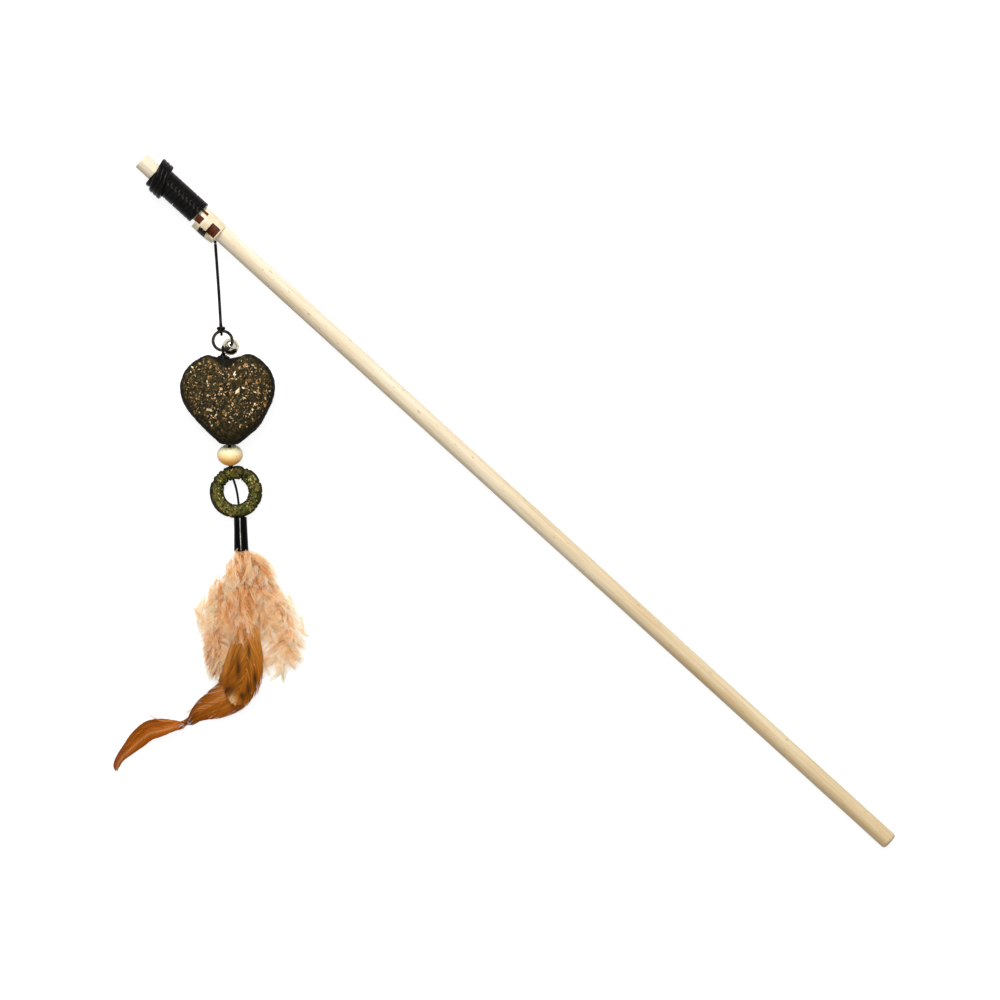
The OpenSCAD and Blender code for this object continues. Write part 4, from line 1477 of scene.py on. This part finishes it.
@dataclass
class Tassel:
    """The black tube and the four feathers in it."""

    mouth: float = 13.45
    off: float = 0.75
    root: float = 7.1
    tube_off: float = 0.35
    tube_bore: float = 1.95
    # Stations along the long feather: its shares of reach, swing, half width and height, and
    # its roll in degrees
    hackle: tuple[tuple[float, float, float, float, float], ...] = (
        (0, 0, 0.07, 0, 0), (0.05, 0.002, 0.08, 0.3, 0), (0.13, 0.01, 0.15, 0.75, 0),
        (0.24, 0.02, 0.35, 0.97, 0), (0.34, 0.03, 0.6, 1, 0), (0.43, 0.03, 0.75, 1, 0),
        (0.52, 0.03, 0.86, 1, 0), (0.589, 0.035, 0.89, 0.95, 0), (0.634, 0.06, 0.88, 0.85, 0),
        (0.666, 0.1, 0.82, 0.7, 0), (0.703, 0.207, 0.7, 0.5, 4), (0.725, 0.296, 0.54, 0.3, 12),
        (0.745, 0.37, 0.41, 0.15, 36), (0.762, 0.43, 0.38, 0.1, 66), (0.7725, 0.455, 0.4, 0.1, 90),
        (0.777, 0.48, 0.38, 0.08, 113), (0.795, 0.558, 0.37, 0.05, 140),
        (0.806, 0.634, 0.43, -0.1, 165), (0.819, 0.717, 0.44, -0.2, 178),
        (0.858, 0.798, 0.41, -0.4, 180), (0.89, 0.853, 0.33, -0.45, 180),
        (0.94, 0.932, 0.2, -0.55, 180), (0.976, 0.963, 0.15, -0.6, 180), (1, 0.966, 0.05, -0.65, 180),
    )
    # Stations along the down feathers: their shares of reach, swing and height
    left: tuple[tuple[float, float, float], ...] = (
        (0, 0, 0), (0.08, 0.11, 0.2), (0.19, 0.32, 0.6), (0.3, 0.55, 0.85), (0.45, 0.85, 1),
        (0.6, 0.85, 1), (0.77, 0.82, 1), (0.9, 0.91, 0.9), (0.97, 1, 0.85), (1, 1, 0.8),
    )
    right: tuple[tuple[float, float, float], ...] = (
        (0, 0, 0), (0.06, 0.29, 0.2), (0.19, 0.49, 0.6), (0.37, 0.69, 0.9), (0.56, 0.89, 1),
        (0.7, 1, 1), (0.83, 0.86, 1), (0.96, 0.71, 0.85), (1, 0.71, 0.8),
    )
    # Stations along the brown feather: its shares of reach, swing, half width and height
    brown: tuple[tuple[float, float, float, float], ...] = (
        (0, 0, 0.08, 0), (0.06, 0, 0.08, 0.35), (0.15, 0.02, 0.12, 0.8), (0.3, 0, 0.2, 1),
        (0.43, -0.1, 0.42, 1), (0.494, -0.15, 0.68, 1), (0.586, -0.12, 0.9, 1),
        (0.66, -0.05, 0.97, 1), (0.766, 0.08, 1.0, 1), (0.85, 0.45, 1.04, 1), (0.9, 0.84, 1, 1),
        (0.966, 1.3, 0.72, 0.98), (1, 1.6, 0.15, 0.95),
    )

    def build_tube(self) -> None:
        """Shapes the flared tube, with a pale strand in its seam as painted highlight, and dresses what
        is in it.
        """
        a = around(72)
        off = np.minimum(a, 2 * math.pi - a)
        outer = 1 - 0.16 * bump(off, 0.13) + 0.03 * bump(off - 0.3, 0.16)
        x = np.array([0.0, 0.06, 0.3, 2.0, 4.0, 6.0, 8.0, 10.0, 12.0, 13.1, 13.4, 13.45])
        wide = np.interp(x, [0, 0.06, 0.3, 6, 12, 13.4, 13.45], [2.35, 2.5, 2.56, 2.66, 2.84, 2.88, 2.78])
        slope = 0.25 * np.cos(a - 1.3) * (1 - bump(off, 0.3))
        slanted = x[:, None] + np.clip((x - 9) / 4.45, 0, 1)[:, None] * slope
        skins = []
        for radius, shift in ((wide[:, None] * outer, self.tube_off), (self.tube_bore, 0.0)):
            skins.append(spread(slanted, radius * np.sin(a) - shift, radius * np.cos(a)))
        skin = np.concatenate([skins[0], skins[1][::-1]])
        points = TASSEL.put(skin.reshape(-1, 3))
        points[:, 2] = np.maximum(points[:, 2], 0.0)
        tube = mesh_object("black_tube", points, skin_faces(len(skin), len(a), closed=True))
        only(tube)
        bpy.ops.object.mode_set(mode="EDIT")
        bpy.ops.mesh.select_all(action="SELECT")
        bpy.ops.mesh.normals_make_consistent(inside=False)
        bpy.ops.object.mode_set(mode="OBJECT")
        tube.data.shade_smooth()
        place_piece(tube, SHRINK_TUBE, Body.TASSEL, "black_tube", "ferrule")
        # A pale strand along the tube's top: painted highlight
        t = np.linspace(0, 1, 30)
        seam = spread(0.5 + 12.7 * t, -0.15 + 0.1 * t - self.tube_off, 2.2 + 0.3 * t)
        thick = 0.26 - 0.1 * t + 0.12 * bump(t, 0.06)
        place_piece(strand("painted_seam_highlight", TASSEL, seam, thick, 10), SEAM_HIGHLIGHT, Body.TASSEL, "glue")
        CORD.dress(frame["nodes"]["tassel_cord"])
        GLUE.dress(frame["nodes"]["glue_plug"])

    def build_hackle(self) -> None:
        """Builds the long feather, with its twist, its split tip and its stray barbs."""
        x, y, w, z, roll = np.array(self.hackle).T
        place = self.mouth + x * 85.5, -self.off - y * 53.5, self.off + z * 3.8
        plume = Plume(spread(*place, np.maximum(0.3, w * 8.8), roll), 31)
        stops = palette(
            "#C98436", "#BE7524", "#C98436", "#C57426", "#BF6A12", "#B45E0A", "#B96310", "#A85C34"
        )
        light, dark = palette("#EBAE6C", "#6E3408")
        bands = np.random.default_rng(32).normal(0, 1, 26)

        def colour(places: Array, across: Array, chance: Array) -> Array:
            """The vane's brown, with a light streak along it, dark edges and faint bands."""
            tone = graded(stops, np.hypot(places[..., 0] - 40, places[..., 1]) / 78)
            band = np.interp((across + 1) * 12.5, np.arange(26), bands)[..., None]
            edge = np.clip((np.abs(across) - 0.55) / 0.45, 0, 1)[..., None] ** 2 * 0.55
            tone = blend(tone, light, bump(across - 0.3, 0.15)[..., None] * 0.45)
            tone = blend(tone, dark, edge)
            return np.clip(tone * (1 + 0.13 * band) * (0.82 + 0.3 * chance[..., None]), 0, 1)

        neck = float(np.argmin(np.abs(plume.line[:, 4] - 90))) / plume.COUNT
        vane = Vane(0.27, 0.1, ragged=0.03, wide=1.0, fold=(neck - 0.005, 0.045, 0.8))
        barbs = vane.build("hackle_vane", plume, colour)
        place_piece(barbs, PLUME, Body.TASSEL, "hackle", "hackle_feather")
        stem = quill("hackle_quill", plume, self.root, 0.4)
        place_piece(stem, QUILL, Body.TASSEL, "hackle")
        self.build_strays()

    def build_strays(self) -> None:
        """Adds the barbs that stand away from the long feather near its twist."""
        u = np.linspace(0, 1, 14)[:, None]
        strays = []
        for (x0, y0), (x1, y1), sag in (
            ((79.6, -29.5), (76.8, -39.1), 1.2),
            ((73.4, -15.5), (76.7, -24.4), -0.4),
            ((73.9, -15.3), (76.9, -23.8), -0.3),
            ((74.4, -15.2), (77.1, -23.0), -0.2),
            ((74.9, -15.2), (77.3, -22.0), -0.1),
        ):
            start, end = np.array([x0, y0, 2.2]), np.array([x1, y1, 1.8])
            bow = np.array([1.0, 0.0, 0.0]) * sag * np.sin(u * math.pi)
            strays.append(start + (end - start) * u + bow)
        lines = TASSEL.put(np.stack(strays))
        across = unit(np.cross(tangents(lines, 1), np.array([0.0, 0.0, 1.0])))
        width = 0.36 * (1 - 0.8 * u[:, 0]) * np.ones((len(strays), 1))
        tint = np.ones(lines.shape) * palette("#C9813E")[0]
        made = ribbons("hackle_stray_barbs", lines, width, across, tint)
        place_piece(made, PLUME, Body.TASSEL, "hackle")

    def build_brown(self) -> None:
        """Builds the small brown feather on top, with its dark and cream patches."""
        x, y, w, z = np.array(self.brown).T
        place = self.mouth + x * 60, self.off - y * 3.5, self.off + z * 5.0
        plume = Plume(spread(*place, np.maximum(0.3, w * 7.2), 0.0), 41)
        stops = palette("#E8B070", "#D2924A", "#C07C2E", "#AE681C", "#A46014", "#B4690F")
        dark, pale = palette("#2E1A08", "#F3CE94")
        spots = (
            (59.4, -2.7, 4.2, 0.9), (53.2, 1.7, 3.5, 0.7), (68.6, -7.2, 2.0, 2.4),
            (68.0, 1.2, 2.6, 0.9), (63.9, 3.8, 3.4, 0.9), (70.6, -1.6, 1.6, 1.0),
        )

        def colour(places: Array, across: Array, chance: Array) -> Array:
            """The vane's brown, darker in spots, cream at the tip, and uneven from barb to barb with
            painted sheen and shade.
            """
            x, y = places[..., 0], places[..., 1]
            tone = graded(stops, (x - 36) / 38)
            for at_x, at_y, long, wide in spots:
                near = bump(x - at_x, long) * bump(y - at_y, wide)
                tone = blend(tone, dark, np.clip(near * (0.55 + 0.7 * chance), 0, 0.92)[..., None])
            near = bump(x - 72.2, 2.0) * bump(y + 5.6, 1.6)
            tone = blend(tone, pale, (0.9 * near)[..., None])
            # Painted sheen lights up some barbs, and painted shade darkens others
            sheen = np.where(chance > 0.78, 1.5, np.where(chance < 0.14, 0.45, 0.85 + 0.4 * chance))
            return np.clip(tone * sheen[..., None], 0, 1)

        barbs = Vane(
            0.3, 0.15, lean=3.0, cup=0.12, ragged=0.12, loose=0.5, wide=0.85, stray=0.1
        ).build("brown_vane", plume, colour)
        place_piece(barbs, PLUME, Body.TASSEL, "brown_plume", "brown_feather")
        stem = quill("brown_quill", plume, self.root, 0.32, 0.9, -0.2)
        place_piece(stem, QUILL, Body.TASSEL, "brown_plume")

    def build_down(self) -> None:
        """Builds the two down feathers, and the down at the foot of the other two."""
        rise = 0.5 + self.off
        stops = palette("#C07A2C", "#E0A258", "#F6CB8C", "#FCE3BC", "#FFF1DA", "#FFFAF0")

        def colour(places: Array, along: Array, chance: Array) -> Array:
            """Cream down: browner at its roots and in the middle, paler at its sides."""
            middle = bump(places[..., 1], 5) * np.clip((62 - places[..., 0]) / 20, 0, 1)
            side = np.clip(np.abs(places[..., 1]) / 20, 0, 1)
            return graded(stops, 0.55 + 0.27 * along - 0.06 * middle + 0.1 * side + 0.42 * (chance - 0.5))

        def golden(places: Array, along: Array, chance: Array) -> Array:
            """Golden down, uneven from clump to clump."""
            return graded(stops, 0.3 + 0.3 * along + 0.75 * (chance - 0.5))

        for name, table, sign, reach, bend, seed, outline in (
            ("left", self.left, -1.0, 53.0, 11.0, 51, LEFT_FLUFF),
            ("right", self.right, 1.0, 54.0, 17.5, 52, RIGHT_FLUFF),
        ):
            x, y, z = np.array(table).T
            place = self.mouth + x * reach, sign * (self.off + y * bend), z * rise - self.off
            rows = spread(*place, 1.0, 0.0)
            plume = Plume(rows, seed)
            fluff = Down(outline).build(f"down_{name}", plume, colour)
            place_piece(fluff, DOWN, Body.TASSEL, "cream_down", f"down_feather_{name}")
            stem = quill(f"down_{name}_quill", plume, self.root, 0.3, 0.75, -0.6)
            place_piece(stem, PALE_QUILL, Body.TASSEL, "cream_down")
            if sign < 0:
                tuft = Down(
                    GOLDEN_FLUFF, clumps=60, barbs=12, thick=2.8, forward=(0.7, 1.3), fuzz=8,
                    loose=0.3, swerve=0.08, streak=0.35, dark=-0.9, cover=0.0,
                ).build("down_left_tuft", Plume(rows, 57), golden)
                place_piece(tuft, DOWN, Body.TASSEL, "cream_down")
        sparse = Down(
            MIDDLE_FLUFF, clumps=150, thick=1.1, forward=(1.2, 2.6), swerve=0.1, streak=0.15
        )
        for name, slot, shift, long, height, seed in (
            ("hackle_down", "hackle", -1.2, 32.0, 3.0, 53),
            ("brown_down", "brown_plume", 1.2, 28.0, 5.0, 54),
        ):
            x, z = np.array([(0, 0), (0.1, 0.25), (0.25, 0.6), (0.45, 0.8), (0.65, 0.9), (1, 0.97)]).T
            place = self.mouth + x * long, shift * np.minimum(1, 0.6 + x), 0.8 + height * z
            plume = Plume(spread(*place, 1.0, 0.0), seed)
            place_piece(sparse.build(name, plume, colour), DOWN, Body.TASSEL, slot)

    def build(self) -> None:
        """Builds the tube and all the feathers."""
        self.build_tube()
        self.build_down()
        self.build_hackle()
        self.build_brown()


# The studio


def seen_directly(tree: Tree) -> Socket:
    """One for rays from the camera, from a reflection or through glass, zero for light."""
    rays = add_node(tree, "ShaderNodeLightPath").outputs
    seen = rays["Is Camera Ray"]
    for kind in ("Is Glossy Ray", "Is Transmission Ray"):
        seen = worked(tree, "MAXIMUM", seen, rays[kind])
    return seen


@dataclass
class Studio:
    """Camera, lamps, floor and background."""

    turn: float = 42.31
    over: tuple[float, float] = (-5.06, 85.7)
    height: float = 2.4
    width: float = 0.3953
    level: float = 0.0035
    lamp_far: float = 1.6

    def build_camera(self) -> None:
        """Hangs the camera straight over the table, turned as the photograph is."""
        data = bpy.data.cameras.new("camera")
        data.sensor_width = 36.0
        data.lens = 36.0 * (self.height - self.level) / self.width
        data.clip_start, data.clip_end = 0.05, 10.0
        camera = bpy.data.objects.new("camera", data)
        camera.location = (self.over[0] * MM, self.over[1] * MM, self.height)
        camera.rotation_euler = (0.0, 0.0, math.radians(self.turn))
        bpy.context.scene.collection.objects.link(camera)
        bpy.context.scene.camera = camera

    def lamp(
        self, name: str, off: float, round_: float, size: tuple[float, float], power: float
    ) -> None:
        """Hangs a soft lamp.

        Args:
            name: The lamp's name.
            off: Its angle off the vertical.
            round_: Its angle from the top of the picture, anticlockwise.
            size: Its width and its height in metres.
            power: Its power in watts.
        """
        data = bpy.data.lights.new(name, "AREA")
        data.shape = "RECTANGLE"
        data.energy, data.size, data.size_y = power, *size
        made = bpy.data.objects.new(name, data)
        a, b = math.radians(off), math.radians(self.turn + 90 + round_)
        way = Vector((math.sin(a) * math.cos(b), math.sin(a) * math.sin(b), math.cos(a)))
        centre = Vector((self.over[0] * MM, self.over[1] * MM, 0))
        made.location = centre + way * self.lamp_far
        made.rotation_mode = "QUATERNION"
        made.rotation_quaternion = way.to_track_quat("Z", "Y")
        bpy.context.scene.collection.objects.link(made)

    def build_lamps(self) -> None:
        """Hangs the tall key lamp above the picture's top edge, and a weak one overhead."""
        self.lamp("key_lamp", 50, 12, (0.24, 1.3), 26.0)
        self.lamp("top_lamp", 4, 12, (0.3, 0.9), 4.5)

    def build_floor(self) -> None:
        """Lays a white floor that shows a faint shadow under a white world."""
        bpy.ops.object.select_all(action="DESELECT")
        bpy.ops.mesh.primitive_plane_add(size=6.0, location=(0, 0, 0))
        floor = bpy.context.object
        floor.name = "floor"
        made = bpy.data.materials.new("white_floor")
        made.use_nodes = True
        tree = made.node_tree
        shader = tree.nodes["Principled BSDF"]
        shader.inputs["Base Color"].default_value = (0.4, 0.4, 0.4, 1)
        shader.inputs["Roughness"].default_value = 0.9
        shader.inputs["Specular IOR Level"].default_value = 0.0
        glow = add_node(tree, "ShaderNodeEmission", {"Strength": 0.83})
        dark = add_node(tree, "ShaderNodeEmission", {"Strength": 0.0})
        ways = {0: seen_directly(tree), 1: dark.outputs[0], 2: glow.outputs[0]}
        part = add_node(tree, "ShaderNodeMixShader", ways)
        both = add_node(tree, "ShaderNodeAddShader", {0: shader.outputs[0], 1: part.outputs[0]})
        tree.links.new(both.outputs[0], tree.nodes["Material Output"].inputs["Surface"])
        floor.data.materials.append(made)

    def build_world(self) -> None:
        """Lights the table evenly from all round, and shows white behind it."""
        world = bpy.data.worlds.new("studio")
        bpy.context.scene.world = world
        world.use_nodes = True
        tree = world.node_tree
        levels = {"Value": seen_directly(tree), "To Min": 0.3, "To Max": 1.0}
        level = add_node(tree, "ShaderNodeMapRange", levels).outputs[0]
        back = tree.nodes["Background"]
        back.inputs["Color"].default_value = (1, 1, 1, 1)
        tree.links.new(level, back.inputs["Strength"])

    def build(self) -> None:
        """Builds the whole studio."""
        self.build_camera()
        self.build_lamps()
        self.build_floor()
        self.build_world()
        bpy.context.scene.view_settings.view_transform = "Standard"


def main() -> None:
    """Builds the wand piece by piece."""
    logging.basicConfig(level=logging.INFO, format="%(message)s")
    Studio().build()
    cord = FreeCord()
    cord.build_knot()
    cord.build_cord()
    Stick().build()
    Whipping().build()
    SplitRing().build()
    heart = Heart()
    heart.build()
    heart.build_cord()
    bead = BeadAndRing()
    bead.build_bead()
    bead.build_ring()
    bead.build_ring_cord()
    Tassel().build()


if __name__ == "__main__":
    main()
